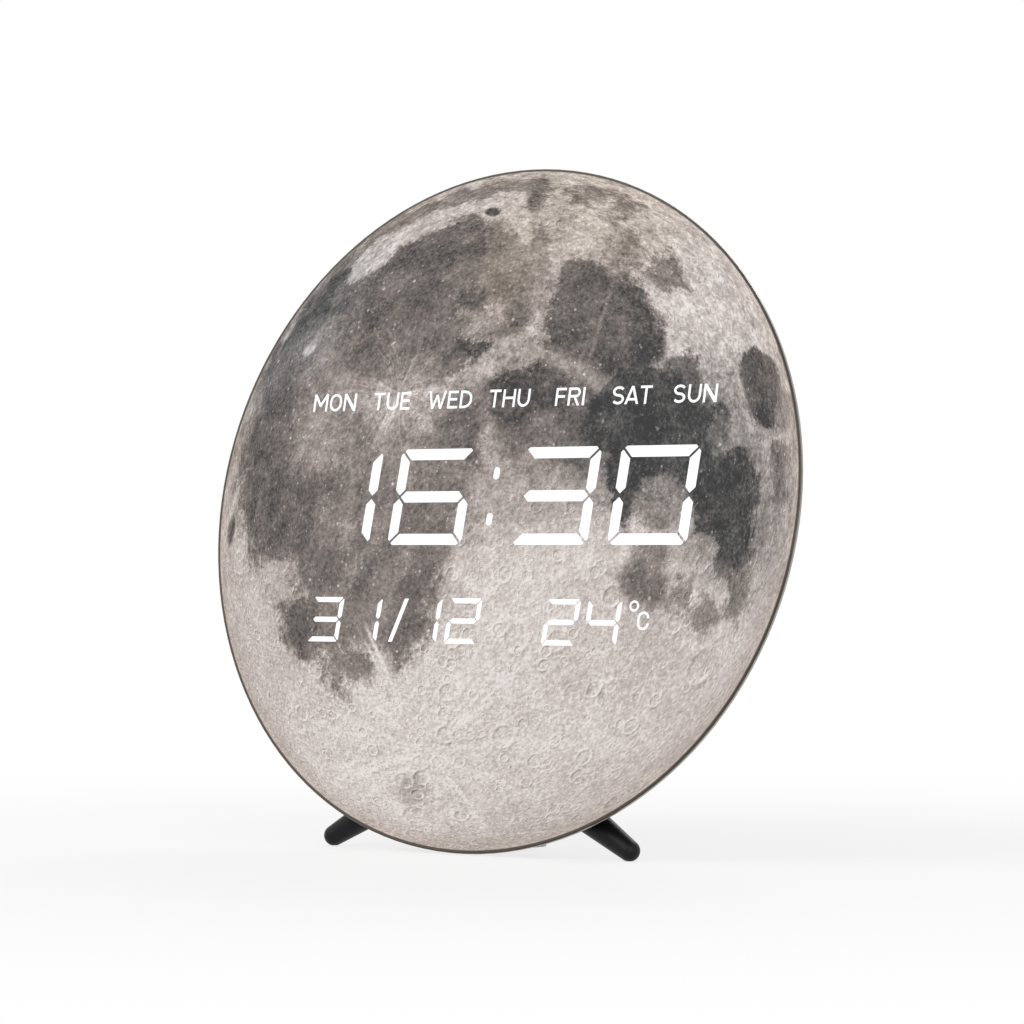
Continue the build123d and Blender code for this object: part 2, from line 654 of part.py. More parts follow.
# Housing: a round wall with a bonding flange, screw bosses, board posts and two peg sockets
SOCKET_RADIUS = SPIGOT_RADIUS + SPIGOT_FIT + SOCKET_WALL
SOCKET_MOUTH = -LEG_BODY - LEG_EASE
SOCKET_BORE = SPIGOT_LENGTH + LEG_EASE
COVER_SCREW_BITE = COVER_SCREW_LENGTH - COVER_THICKNESS + COUNTERBORE_DEPTH
with BuildPart() as housing:
    with BuildSketch(behind(TAPE_BACK)):
        Circle(HOUSING_RADIUS)
        Circle(HOUSING_INNER, mode=Mode.SUBTRACT)
    extrude(amount=-HOUSING_DEPTH)
    with BuildSketch(behind(TAPE_BACK)):
        Circle(HOUSING_RADIUS)
        Circle(FLANGE_INNER, mode=Mode.SUBTRACT)
    extrude(amount=-FLANGE_THICKNESS)
    with BuildSketch(behind(TAPE_BACK)):
        with Locations(*BOSS_PLACES):
            Circle(BOSS_RADIUS)
    extrude(amount=-HOUSING_DEPTH)
    with BuildSketch(behind(TAPE_BACK)):
        with Locations(*POST_PLACES):
            Circle(POST_RADIUS)
    extrude(amount=TAPE_BACK - REFLECTOR_BACK)
    for side in LEG_SIDES.values():
        socket_plane = leg_plane(side)
        mouth = Plane(
            origin=socket_plane.from_local_coords((SOCKET_MOUTH, 0, 0)),
            x_dir=socket_plane.z_dir,
            z_dir=socket_plane.x_dir,
        )
        with BuildSketch(mouth):
            Circle(SOCKET_RADIUS)
        extrude(amount=-SOCKET_BORE - SOCKET_FLOOR)
        with BuildSketch(mouth):
            Circle(SPIGOT_RADIUS + SPIGOT_FIT)
        extrude(amount=-SOCKET_BORE, mode=Mode.SUBTRACT)
    with BuildSketch(behind(HOUSING_BACK)):
        with Locations(*BOSS_PLACES):
            Circle(SCREW_RADIUS + SCREW_FIT)
    extrude(amount=COVER_SCREW_BITE + SCREW_TIP_GAP, mode=Mode.SUBTRACT)
    with BuildSketch(behind(REFLECTOR_BACK)):
        with Locations(*POST_PLACES):
            Circle(SCREW_RADIUS + SCREW_FIT)
    extrude(amount=BOARD_SCREW_LENGTH - BOARD_THICKNESS + SCREW_TIP_GAP, mode=Mode.SUBTRACT)
save(housing.part, "housing")


# Rear cover: a flat round back with openings for the keys, cell, power, sound, air and a wall screw
EAR_INNER = PROP_WIDTH / 2 + PROP_EASE
HINGE_DEPTH = COVER_BACK + PROP_HINGE_STANDOFF
CAP_LUG_RADIUS = CAP_RADIUS + CAP_LUG_REACH
BRACKET_SCREW_X = EAR_INNER + PROP_EAR_THICKNESS + BRACKET_FOOT_WIDTH / 2
BRACKET_SCREW_PLACES = [(-BRACKET_SCREW_X, PROP_HINGE_ROW), (BRACKET_SCREW_X, PROP_HINGE_ROW)]
with BuildPart() as rear_cover:
    with BuildSketch(behind(HOUSING_BACK)):
        Circle(HOUSING_RADIUS)
    extrude(amount=-COVER_THICKNESS)
    fillet(rear_cover.faces().sort_by(Axis(FACE.origin, FACE.z_dir))[0].edges(), COVER_FILLET)
    with BuildSketch(behind(HOUSING_BACK)):
        with Locations(*BOSS_PLACES):
            Circle(SCREW_RADIUS + SCREW_HOLE_EASE)
        with Locations(*BRACKET_SCREW_PLACES):
            Circle(SCREW_RADIUS + SCREW_FIT)
        with Locations(*BUTTON_PLACES):
            Circle(BUTTON_RADIUS + BUTTON_EASE)
        with Locations((CELL_X, CELL_ROW)):
            Circle(CAP_RADIUS + CAP_EASE)
            Rectangle(
                2 * (CAP_LUG_RADIUS + CAP_EASE),
                CAP_LUG_WIDTH + 2 * CAP_EASE,
                rotation=CAP_TURN_DEGREES,
            )
        with Locations((JACK_X, JACK_ROW)):
            SlotOverall(JACK_WIDTH + 2 * JACK_EASE, JACK_HEIGHT + 2 * JACK_EASE)
        with Locations((BUZZER_X, BUZZER_ROW)):
            with PolarLocations(SOUND_RING_RADIUS, SOUND_HOLE_COUNT):
                Circle(SOUND_HOLE_RADIUS)
        with Locations((SENSOR_X, SENSOR_ROW)):
            with GridLocations(VENT_LENGTH, VENT_PITCH, 1, VENT_COUNT):
                SlotOverall(VENT_LENGTH, VENT_WIDTH)
        with Locations((0, KEYHOLE_ROW)):
            Circle(KEYHOLE_HEAD_RADIUS)
            Rectangle(2 * KEYHOLE_NECK_RADIUS, KEYHOLE_DROP, align=(Align.CENTER, Align.MIN))
        with Locations((0, KEYHOLE_ROW + KEYHOLE_DROP)):
            Circle(KEYHOLE_NECK_RADIUS)
    extrude(amount=-COVER_THICKNESS, mode=Mode.SUBTRACT)
    with BuildSketch(behind(COVER_BACK)):
        with Locations(*BOSS_PLACES):
            Circle(SCREW_HEAD_RADIUS + COUNTERBORE_EASE)
    extrude(amount=COUNTERBORE_DEPTH, mode=Mode.SUBTRACT)
save(rear_cover.part, "rear_cover")

# Two angle brackets on the cover that carry the hinge pin of the prop
with BuildPart() as prop_brackets:
    for side in (-1, 1):
        ear_plane = SIDE.offset(side * EAR_INNER)
        with BuildSketch(ear_plane):
            with Locations((HINGE_DEPTH, PROP_HINGE_ROW)):
                Circle(PROP_KNUCKLE_RADIUS)
                Rectangle(PROP_HINGE_STANDOFF, 2 * PROP_KNUCKLE_RADIUS, align=(Align.MAX, Align.CENTER))
        extrude(amount=side * PROP_EAR_THICKNESS)
        with BuildSketch(ear_plane):
            with Locations((HINGE_DEPTH, PROP_HINGE_ROW)):
                Circle(PROP_PIN_RADIUS)
        extrude(amount=side * PROP_EAR_THICKNESS, mode=Mode.SUBTRACT)
    with BuildSketch(behind(COVER_BACK)):
        with Locations(*BRACKET_SCREW_PLACES):
            Rectangle(BRACKET_FOOT_WIDTH, 2 * PROP_KNUCKLE_RADIUS)
    extrude(amount=-BRACKET_FOOT_THICKNESS)
    with BuildSketch(behind(COVER_BACK)):
        with Locations(*BRACKET_SCREW_PLACES):
            Circle(SCREW_RADIUS + SCREW_HOLE_EASE)
    extrude(amount=-BRACKET_FOOT_THICKNESS, mode=Mode.SUBTRACT)
save(prop_brackets.part, "prop_brackets")


def draw_cross():
    """Cross recess of a screw head."""
    Rectangle(2 * SCREW_RADIUS, 2 * SCREW_RECESS_WIDTH)
    Rectangle(2 * SCREW_RECESS_WIDTH, 2 * SCREW_RADIUS)


def make_screws(places, seat, length):
    """Cross-head screws with their heads on this seat, pointing to the front."""
    with BuildPart() as screws:
        with BuildSketch(behind(seat)):
            with Locations(*places):
                Circle(SCREW_HEAD_RADIUS)
        extrude(amount=-SCREW_HEAD_THICKNESS)
        with BuildSketch(behind(seat)):
            with Locations(*places):
                Circle(SCREW_RADIUS)
        extrude(amount=length)
        with BuildSketch(behind(seat + SCREW_HEAD_THICKNESS)):
            with Locations(*places):
                draw_cross()
        extrude(amount=SCREW_RECESS_DEPTH, mode=Mode.SUBTRACT)
    return screws.part


save(make_screws(BOSS_PLACES, COVER_BACK - COUNTERBORE_DEPTH, COVER_SCREW_LENGTH), "cover_screws")
save(make_screws(POST_PLACES, BOARD_BACK, BOARD_SCREW_LENGTH), "board_screws")
BRACKET_SEAT = COVER_BACK + BRACKET_FOOT_THICKNESS
save(make_screws(BRACKET_SCREW_PLACES, BRACKET_SEAT, BRACKET_SCREW_LENGTH), "bracket_screws")

# Keys: a dished cap, a flange that keeps it in, and a stem that reaches into its switch
STEM_END = BOARD_BACK + SWITCH_HEIGHT - STEM_REACH
FLANGE_SEAT = HOUSING_BACK - BUTTON_EASE
for button_name, place in zip(BUTTON_NAMES, BUTTON_PLACES):
    with BuildPart() as button:
        with BuildSketch(behind(FLANGE_SEAT)):
            with Locations(place):
                Circle(BUTTON_RADIUS + BUTTON_FLANGE)
        extrude(amount=BUTTON_FLANGE_THICKNESS)
        with BuildSketch(behind(FLANGE_SEAT)):
            with Locations(place):
                Circle(BUTTON_RADIUS)
        extrude(amount=FLANGE_SEAT - COVER_BACK - BUTTON_STAND)
        with BuildSketch(behind(FLANGE_SEAT)):
            with Locations(place):
                Circle(BUTTON_STEM_RADIUS)
        extrude(amount=FLANGE_SEAT - STEM_END)
        chamfer(button.faces().sort_by(Axis(FACE.origin, FACE.z_dir))[0].edges(), BUTTON_DISH)
    save(button.part, f"button_{button_name}")

# Turning cap over the cell, with two lugs under the cover and a coin slot
with BuildPart() as battery_cap:
    with BuildSketch(behind(COVER_BACK)):
        with Locations((CELL_X, CELL_ROW)):
            Circle(CAP_RADIUS)
    extrude(amount=COVER_THICKNESS + CAP_SKIRT)
    with BuildSketch(behind(HOUSING_BACK - CAP_EASE)):
        with Locations((CELL_X, CELL_ROW)):
            Rectangle(2 * CAP_LUG_RADIUS, CAP_LUG_WIDTH)
    extrude(amount=CAP_SKIRT - CAP_EASE)
    with BuildSketch(behind(COVER_BACK)):
        with Locations((CELL_X, CELL_ROW)):
            SlotOverall(CAP_SLOT_LENGTH, CAP_SLOT_WIDTH)
    extrude(amount=CAP_SLOT_DEPTH, mode=Mode.SUBTRACT)
save(battery_cap.part, "battery_cap")

# Rear prop: a tapered strut from the hinge to a flat end on its soft foot
HINGE = SIDE.from_local_coords((HINGE_DEPTH, PROP_HINGE_ROW, 0))
FOOT_Y = FACE_Y + PROP_FOOT_REACH
STRUT_RUN = FOOT_Y - HINGE.Y
STRUT_FALL = HINGE.Z - FOOT_THICKNESS
STRUT_LENGTH = hypot(STRUT_RUN, STRUT_FALL)
STRUT_WAY = (STRUT_RUN / STRUT_LENGTH, -STRUT_FALL / STRUT_LENGTH)
STRUT_HALF_LEVEL = PROP_THICKNESS / 2 / -STRUT_WAY[1]
STRUT_FRONT = Plane(origin=HINGE, x_dir=(1, 0, 0), z_dir=(0, STRUT_WAY[1], -STRUT_WAY[0]))
STRUT_END = STRUT_LENGTH + PROP_THICKNESS
with BuildPart() as prop:
    with BuildSketch(Plane.YZ):
        Polygon(
            (HINGE.Y - PROP_THICKNESS / 2 * -STRUT_WAY[1], HINGE.Z - PROP_THICKNESS / 2 * STRUT_WAY[0]),
            (HINGE.Y + PROP_THICKNESS / 2 * -STRUT_WAY[1], HINGE.Z + PROP_THICKNESS / 2 * STRUT_WAY[0]),
            (FOOT_Y + STRUT_HALF_LEVEL, FOOT_THICKNESS),
            (FOOT_Y - STRUT_HALF_LEVEL, FOOT_THICKNESS),
            align=None,
        )
        with Locations((HINGE.Y, HINGE.Z)):
            Circle(PROP_KNUCKLE_RADIUS)
    extrude(amount=PROP_WIDTH / 2, both=True)
    with BuildSketch(Plane.YZ):
        with Locations((HINGE.Y, HINGE.Z)):
            Circle(PROP_PIN_RADIUS + PROP_PIN_FIT)
    extrude(amount=PROP_WIDTH / 2, both=True, mode=Mode.SUBTRACT)
    with BuildSketch(STRUT_FRONT.offset(-PROP_THICKNESS / 2)):
        with Locations((0, -(PROP_KNUCKLE_RADIUS + STRUT_LENGTH) / 2)):
            SlotOverall(STRUT_LENGTH - 2 * PROP_GROOVE_END, PROP_GROOVE_WIDTH, rotation=90)
    extrude(amount=PROP_GROOVE_DEPTH, mode=Mode.SUBTRACT)
    with BuildSketch(STRUT_FRONT):
        Polygon(
            (-PROP_WIDTH / 2, PROP_KNUCKLE_RADIUS),
            (-PROP_WIDTH / 2, -PROP_KNUCKLE_RADIUS),
            (-PROP_FOOT_WIDTH / 2, -STRUT_LENGTH),
            (-PROP_FOOT_WIDTH / 2, -STRUT_END),
            (PROP_FOOT_WIDTH / 2, -STRUT_END),
            (PROP_FOOT_WIDTH / 2, -STRUT_LENGTH),
            (PROP_WIDTH / 2, -PROP_KNUCKLE_RADIUS),
            (PROP_WIDTH / 2, PROP_KNUCKLE_RADIUS),
            align=None,
        )
    extrude(amount=PROP_KNUCKLE_RADIUS, both=True, mode=Mode.INTERSECT)
save(prop.part, "prop")

# Steel hinge pin, held in the brackets
with BuildPart() as prop_pin:
    with BuildSketch(Plane.YZ):
        with Locations((HINGE.Y, HINGE.Z)):
            Circle(PROP_PIN_RADIUS)
    extrude(amount=EAR_INNER + PROP_EAR_THICKNESS, both=True)
save(prop_pin.part, "prop_pin")

# Soft foot under the prop
with BuildPart() as prop_foot:
    with BuildSketch(Plane.XY):
        with Locations((0, FOOT_Y)):
            Rectangle(PROP_FOOT_WIDTH, FOOT_LENGTH)
    extrude(amount=FOOT_THICKNESS)
save(prop_foot.part, "prop_foot")
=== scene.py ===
import json
from math import asin, cos, hypot, pi, radians, sin, tan

import bpy
from mathutils import Matrix, Vector


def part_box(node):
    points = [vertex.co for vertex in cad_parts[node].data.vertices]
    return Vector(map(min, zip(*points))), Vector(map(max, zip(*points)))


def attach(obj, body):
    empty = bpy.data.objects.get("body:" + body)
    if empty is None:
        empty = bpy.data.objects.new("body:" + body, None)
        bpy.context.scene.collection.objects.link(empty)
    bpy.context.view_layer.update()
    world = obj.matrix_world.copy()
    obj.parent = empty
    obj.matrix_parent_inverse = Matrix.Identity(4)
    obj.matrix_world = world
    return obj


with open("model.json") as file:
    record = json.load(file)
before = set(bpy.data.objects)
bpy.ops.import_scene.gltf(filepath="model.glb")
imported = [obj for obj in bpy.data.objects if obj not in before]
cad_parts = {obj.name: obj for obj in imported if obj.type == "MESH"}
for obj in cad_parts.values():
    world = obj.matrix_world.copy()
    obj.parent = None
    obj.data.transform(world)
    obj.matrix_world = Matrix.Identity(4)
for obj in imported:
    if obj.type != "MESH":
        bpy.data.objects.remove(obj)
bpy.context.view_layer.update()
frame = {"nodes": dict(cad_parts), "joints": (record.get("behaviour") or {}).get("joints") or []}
nodes = frame["nodes"]

# Printed moon film.
# A thin satin film with a full-moon print, in warm greys, on the front of the face plate.
# It is printed flat, cut round, and has a window for each lit stroke.


def joint_axis(name):
    """The axis of one joint of the frame."""
    return Vector(next(joint["axis"] for joint in frame["joints"] if joint["name"] == name))


face_out = joint_axis("button_set_press").normalized()
face_up = Vector((0, -face_out.z, face_out.y)) * (-1 if face_out.y < 0 else 1)
face_lean = asin(face_out.z)
face_turn = (pi / 2 - face_lean, 0, 0)
print_low, print_high = (Vector(corner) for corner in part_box("moon_print"))
print_radius = (print_high.x - print_low.x) / 2
print_depth = (print_high.y - print_low.y - 2 * print_radius * sin(face_lean)) / cos(face_lean)
face_middle = (print_low + print_high) / 2 + face_out * print_depth / 2


def add(tree, kind, inputs=(), **settings):
    """One node with its options set, and its inputs fed by values or by other nodes' outputs."""
    made = tree.nodes.new(kind)
    for name, value in settings.items():
        setattr(made, name, value)
    for key, value in dict(inputs).items():
        if isinstance(value, bpy.types.NodeSocket):
            tree.links.new(value, made.inputs[key])
        else:
            made.inputs[key].default_value = value
    return made


def calc(tree, operation, *values):
    """The result of one sum on single numbers."""
    return add(tree, "ShaderNodeMath", enumerate(values), operation=operation).outputs[0]


def shift(tree, operation, *values):
    """The result of one sum on vectors."""
    made = add(tree, "ShaderNodeVectorMath", enumerate(values), operation=operation)
    return made.outputs["Value" if operation in ("LENGTH", "DOT_PRODUCT") else "Vector"]


def ease(tree, value, start, end, low=0.0, high=1.0):
    """A smooth step from low to high as the value goes from start to end."""
    inputs = {"Value": value, "From Min": start, "From Max": end, "To Min": low, "To Max": high}
    return add(tree, "ShaderNodeMapRange", inputs, interpolation_type="SMOOTHSTEP").outputs["Result"]


def effect(name, inputs, outputs, kind="ShaderNodeTree"):
    """An empty group of shader nodes, or of another kind, with named inputs and outputs."""
    tree = bpy.data.node_groups.new(name, kind)
    for direction, sockets in (("INPUT", inputs), ("OUTPUT", outputs)):
        for socket_name, holds in sockets.items():
            tree.interface.new_socket(socket_name, in_out=direction, socket_type="NodeSocket" + holds)
    return tree, tree.nodes.new("NodeGroupInput").outputs, tree.nodes.new("NodeGroupOutput").inputs


def place_effect(tree, group, inputs):
    """A group placed in a material or in another group; gives its outputs."""
    return add(tree, "ShaderNodeGroup", inputs, node_tree=group).outputs


def ink(red, green, blue):
    """A colour written as screen values from 0 to 255."""
    parts = [value / 255 for value in (red, green, blue)]
    linear = [part / 12.92 if part <= 0.04045 else ((part + 0.055) / 1.055) ** 2.4 for part in parts]
    return (*linear, 1.0)


def ramp(tree, value, stops):
    """A colour that runs through these stops as the value grows."""
    made = add(tree, "ShaderNodeValToRGB", {"Fac": value})
    elements = made.color_ramp.elements
    while len(elements) < len(stops):
        elements.new(0.5)
    for element, (position, colour) in zip(elements, stops):
        element.position = position
        element.color = colour
    return made.outputs["Color"]


def blend(tree, factor, below, above, how="MIX"):
    """One colour laid over another, or multiplied into it, by a factor."""
    inputs = {"Factor": factor, "A": below, "B": above}
    return add(tree, "ShaderNodeMix", inputs, data_type="RGBA", blend_type=how).outputs["Result"]


def finish(name, **constants):
    """A new material; gives it, its tree and its surface shader, with the constants set on the sockets."""
    material = bpy.data.materials.new(name)
    material.use_nodes = True
    tree = material.node_tree
    surface = tree.nodes["Principled BSDF"]
    for socket, value in constants.items():
        surface.inputs[socket.replace("_", " ")].default_value = value
    return material, tree, surface


def feed(tree, surface, **sources):
    """Links outputs to the surface shader's sockets."""
    for socket, source in sources.items():
        tree.links.new(source, surface.inputs[socket.replace("_", " ")])


def paint(material, *names):
    """Puts a material on these nodes of the frame."""
    for name in names:
        mesh = nodes[name].data
        mesh.materials.clear()
        mesh.materials.append(material)


def object_place(tree, location=(0, 0, 0), rotation=(0, 0, 0), scale=(1, 1, 1)):
    """Where a point is on the piece, with the pattern's own middle, turn and size."""
    where = tree.nodes.new("ShaderNodeTexCoord").outputs["Object"]
    inputs = {"Vector": where, "Location": location, "Rotation": rotation, "Scale": scale}
    return add(tree, "ShaderNodeMapping", inputs, vector_type="TEXTURE").outputs["Vector"]


def bumped(tree, height, strength, distance):
    """The surface's normal, roughened by a height."""
    inputs = {"Height": height, "Strength": strength, "Distance": distance}
    return add(tree, "ShaderNodeBump", inputs).outputs["Normal"]


def cloudy(tree, place, scale, detail, roughness=0.55, output="Fac"):
    """Cloudy noise about a half, as a value or as a colour."""
    inputs = {"Vector": place, "Scale": scale, "Detail": detail, "Roughness": roughness}
    return add(tree, "ShaderNodeTexNoise", inputs).outputs[output]


def vector(tree, x, y, z=0.0):
    """A vector put together from single numbers."""
    return add(tree, "ShaderNodeCombineXYZ", {"X": x, "Y": y, "Z": z}).outputs["Vector"]


def near_to(tree, value, target, share):
    """The value moved towards a target by a share of the way."""
    return calc(tree, "MULTIPLY_ADD", calc(tree, "SUBTRACT", target, value), share, value)


# A dark plain, or a patch of another shade, as a soft-edged tilted oval
plain_group, given, result = effect(
    "lunar_plain",
    {"Place": "Vector", "Ragged": "Float", "Tone": "Float", "Centre": "Vector", "Radii": "Vector",
     "Turn": "Float", "Softness": "Float", "Plain Tone": "Float"},
    {"Tone": "Float"},
)
offset = shift(plain_group, "SUBTRACT", given["Place"], given["Centre"])
turned = add(plain_group, "ShaderNodeVectorRotate", {"Vector": offset, "Angle": given["Turn"]},
             rotation_type="Z_AXIS").outputs["Vector"]
flat = shift(plain_group, "MULTIPLY", turned, (1, 1, 0))
in_radii = shift(plain_group, "LENGTH", shift(plain_group, "DIVIDE", flat, given["Radii"]))
reach = calc(plain_group, "ADD", in_radii, given["Ragged"])
fade_start = calc(plain_group, "SUBTRACT", 1.0, given["Softness"])
fade_end = calc(plain_group, "ADD", 1.0, given["Softness"])
inside = ease(plain_group, reach, fade_start, fade_end, 1.0, 0.0)
plain_group.links.new(near_to(plain_group, given["Tone"], given["Plain Tone"], inside), result["Tone"])


def oval(tree, place, ragged, tone, middle, radii, turn, softness, oval_tone):
    """The tone once an oval patch of another shade is laid on it."""
    inputs = {"Place": place, "Ragged": ragged, "Tone": tone, "Centre": (*middle, 0), "Radii": (*radii, 1),
              "Turn": -turn, "Softness": softness, "Plain Tone": oval_tone}
    return place_effect(tree, plain_group, inputs)["Tone"]


# Bright dust thrown out from one point in streaks
ray_group, given, result = effect(
    "bright_rays",
    {"Place": "Vector", "Tone": "Float", "Centre": "Vector", "Reach": "Float", "Streaks": "Float",
     "Gain": "Float"},
    {"Tone": "Float"},
)
offset = shift(ray_group, "SUBTRACT", given["Place"], given["Centre"])
offset = shift(ray_group, "MULTIPLY", offset, (1, 1, 0))
away = calc(ray_group, "DIVIDE", shift(ray_group, "LENGTH", offset), given["Reach"])
bearing = shift(ray_group, "NORMALIZE", offset)
streaks = cloudy(ray_group, bearing, given["Streaks"], 3.0, 0.7)
arms = ease(ray_group, streaks, 0.46, 0.64, 0.12, 1.0)
fade = calc(ray_group, "POWER", ease(ray_group, away, 0.0, 1.0, 1.0, 0.0), 1.6)
gained = calc(ray_group, "MULTIPLY", calc(ray_group, "MULTIPLY", arms, fade), given["Gain"])
ray_group.links.new(calc(ray_group, "ADD", given["Tone"], gained), result["Tone"])

# Light and shade on a field of round craters of mixed sizes, lit from the upper left, with none in some cells
LIGHT_FROM = (-0.74, 0.67, 0.0)
RIM_GLOW = 0.16
relief_group, given, result = effect(
    "crater_relief", {"Place": "Vector", "Scale": "Float"}, {"Relief": "Float"})
cells = add(relief_group, "ShaderNodeTexVoronoi", {"Vector": given["Place"], "Scale": given["Scale"]},
            voronoi_dimensions="2D").outputs
lot = add(relief_group, "ShaderNodeSeparateColor", {"Color": cells["Color"]}).outputs
mostly_small = calc(relief_group, "POWER", lot["Red"], 2.0)
crater_radius = calc(relief_group, "MULTIPLY_ADD", mostly_small, 0.30, 0.12)
across = calc(relief_group, "DIVIDE", cells["Distance"], crater_radius)
from_pit = shift(relief_group, "SUBTRACT", given["Place"], cells["Position"])
to_light = shift(relief_group, "DOT_PRODUCT", shift(relief_group, "NORMALIZE", from_pit), LIGHT_FROM)


def crater_band(start, full, fall, end):
    """A ring of each crater, in crater radii: it grows from start to full and fades from fall to end."""
    rising, falling = ease(relief_group, across, start, full), ease(relief_group, across, end, fall)
    return calc(relief_group, "MULTIPLY", rising, falling)


inner_wall = crater_band(0.62, 0.86, 0.92, 1.03)
outer_slope = crater_band(0.97, 1.06, 1.05, 1.5)
rim = crater_band(0.86, 1.0, 1.0, 1.16)
turned_away = calc(relief_group, "MULTIPLY", inner_wall, -1.0)
facing = calc(relief_group, "MULTIPLY_ADD", outer_slope, 0.6, turned_away)
shaded = calc(relief_group, "MULTIPLY_ADD", facing, to_light, calc(relief_group, "MULTIPLY", rim, RIM_GLOW))
weight = ease(relief_group, lot["Green"], 0.30, 0.90)
relief_group.links.new(calc(relief_group, "MULTIPLY", shaded, weight), result["Relief"])

print_material, tree, surface = finish("moon_print_ink", Specular_IOR_Level=0.22, IOR=1.46)
disc = object_place(tree, face_middle, face_turn, (print_radius,) * 3)
axes = add(tree, "ShaderNodeSeparateXYZ", {"Vector": disc}).outputs
across_x, up_y = axes["X"], axes["Y"]
rim_square = calc(tree, "MULTIPLY_ADD", across_x, across_x, calc(tree, "MULTIPLY", up_y, up_y))
bulge = calc(tree, "SQRT", calc(tree, "MAXIMUM", calc(tree, "SUBTRACT", 1.0, rim_square), 0.0))
ball = vector(tree, across_x, up_y, bulge)

# Ragged shores: the map is pushed about by cloudy noise, and its outlines are broken up by a finer one
SHORE_PUSH = (0.075, 0.075, 0.0)
push = cloudy(tree, ball, 5.0, 6.0, 0.6, "Color")
pushed = shift(tree, "SUBTRACT", push, (0.5, 0.5, 0.5))
flat_disc = vector(tree, across_x, up_y, 1.0)
shore = shift(tree, "MULTIPLY_ADD", pushed, SHORE_PUSH, flat_disc)
broken = cloudy(tree, ball, 12.0, 15.0, 0.80)
ragged = calc(tree, "SUBTRACT", broken, 0.5)
SOFT_CORNER = 0.02


def outside(tree, place, corners):
    """How far a point (x, y, 1) lies outside a bulging outline; less than nothing inside it."""
    pairs = list(zip(corners, corners[1:] + corners[:1]))
    way = 1 if sum(x0 * y1 - x1 * y0 for (x0, y0), (x1, y1) in pairs) > 0 else -1
    farthest = None
    for (x0, y0), (x1, y1) in pairs:
        side = hypot(x1 - x0, y1 - y0) * way
        out_x, out_y = (y1 - y0) / side, (x0 - x1) / side
        past = shift(tree, "DOT_PRODUCT", place, (out_x, out_y, -out_x * x0 - out_y * y0))
        farthest = past if farthest is None else calc(tree, "SMOOTH_MAX", farthest, past, SOFT_CORNER)
    return farthest


# Highlands, palest in the south, with broad cloudy changes of shade
HIGHLAND_TONE = 0.745
broad = cloudy(tree, ball, 3.2, 6.0, 0.6)
tone = calc(tree, "MULTIPLY_ADD", calc(tree, "SUBTRACT", broad, 0.5), 0.25, HIGHLAND_TONE)
HIGHLANDS = (
    # label, middle, radii, turn, softness, tone
    ("south", (-0.02, -0.72), (0.66, 0.40), 0.0, 0.60, 0.835),
    ("east", (0.84, -0.36), (0.20, 0.40), 0.25, 0.80, 0.80),
    ("east_limb", (0.95, 0.10), (0.10, 0.40), 0.0, 0.70, 0.71),
    ("middle", (0.10, -0.20), (0.32, 0.20), 0.0, 0.80, 0.855),
    ("centre", (0.13, 0.07), (0.24, 0.13), 0.0, 0.90, 0.63),
    ("north", (0.05, 0.86), (0.22, 0.12), 0.0, 0.80, 0.74),
    ("north_east", (0.62, 0.58), (0.26, 0.18), -0.75, 0.80, 0.81),
    ("west_limb", (-0.86, -0.42), (0.14, 0.30), 0.40, 0.80, 0.765),
    ("south_limb", (0.27, -0.94), (0.40, 0.13), 0.2, 0.80, 0.765),
    ("west_ground", (-0.56, 0.30), (0.40, 0.40), 0.0, 0.45, 0.50),
    ("low_west_ground", (-0.46, -0.10), (0.28, 0.22), -0.3, 0.85, 0.56),
    ("north_ground", (0.04, 0.66), (0.14, 0.18), 0.0, 0.80, 0.64),
    ("middle_ground", (0.10, 0.32), (0.24, 0.12), 0.0, 0.70, 0.47),
    ("east_ground", (0.52, 0.22), (0.28, 0.20), 0.0, 0.50, 0.45),
    ("far_east_ground", (0.78, 0.0), (0.14, 0.20), 0.35, 0.60, 0.47),
)
for label, middle, radii, turn, softness, land_tone in HIGHLANDS:
    tone = oval(tree, shore, ragged, tone, middle, radii, turn, softness, land_tone)
    tone.node.label = label

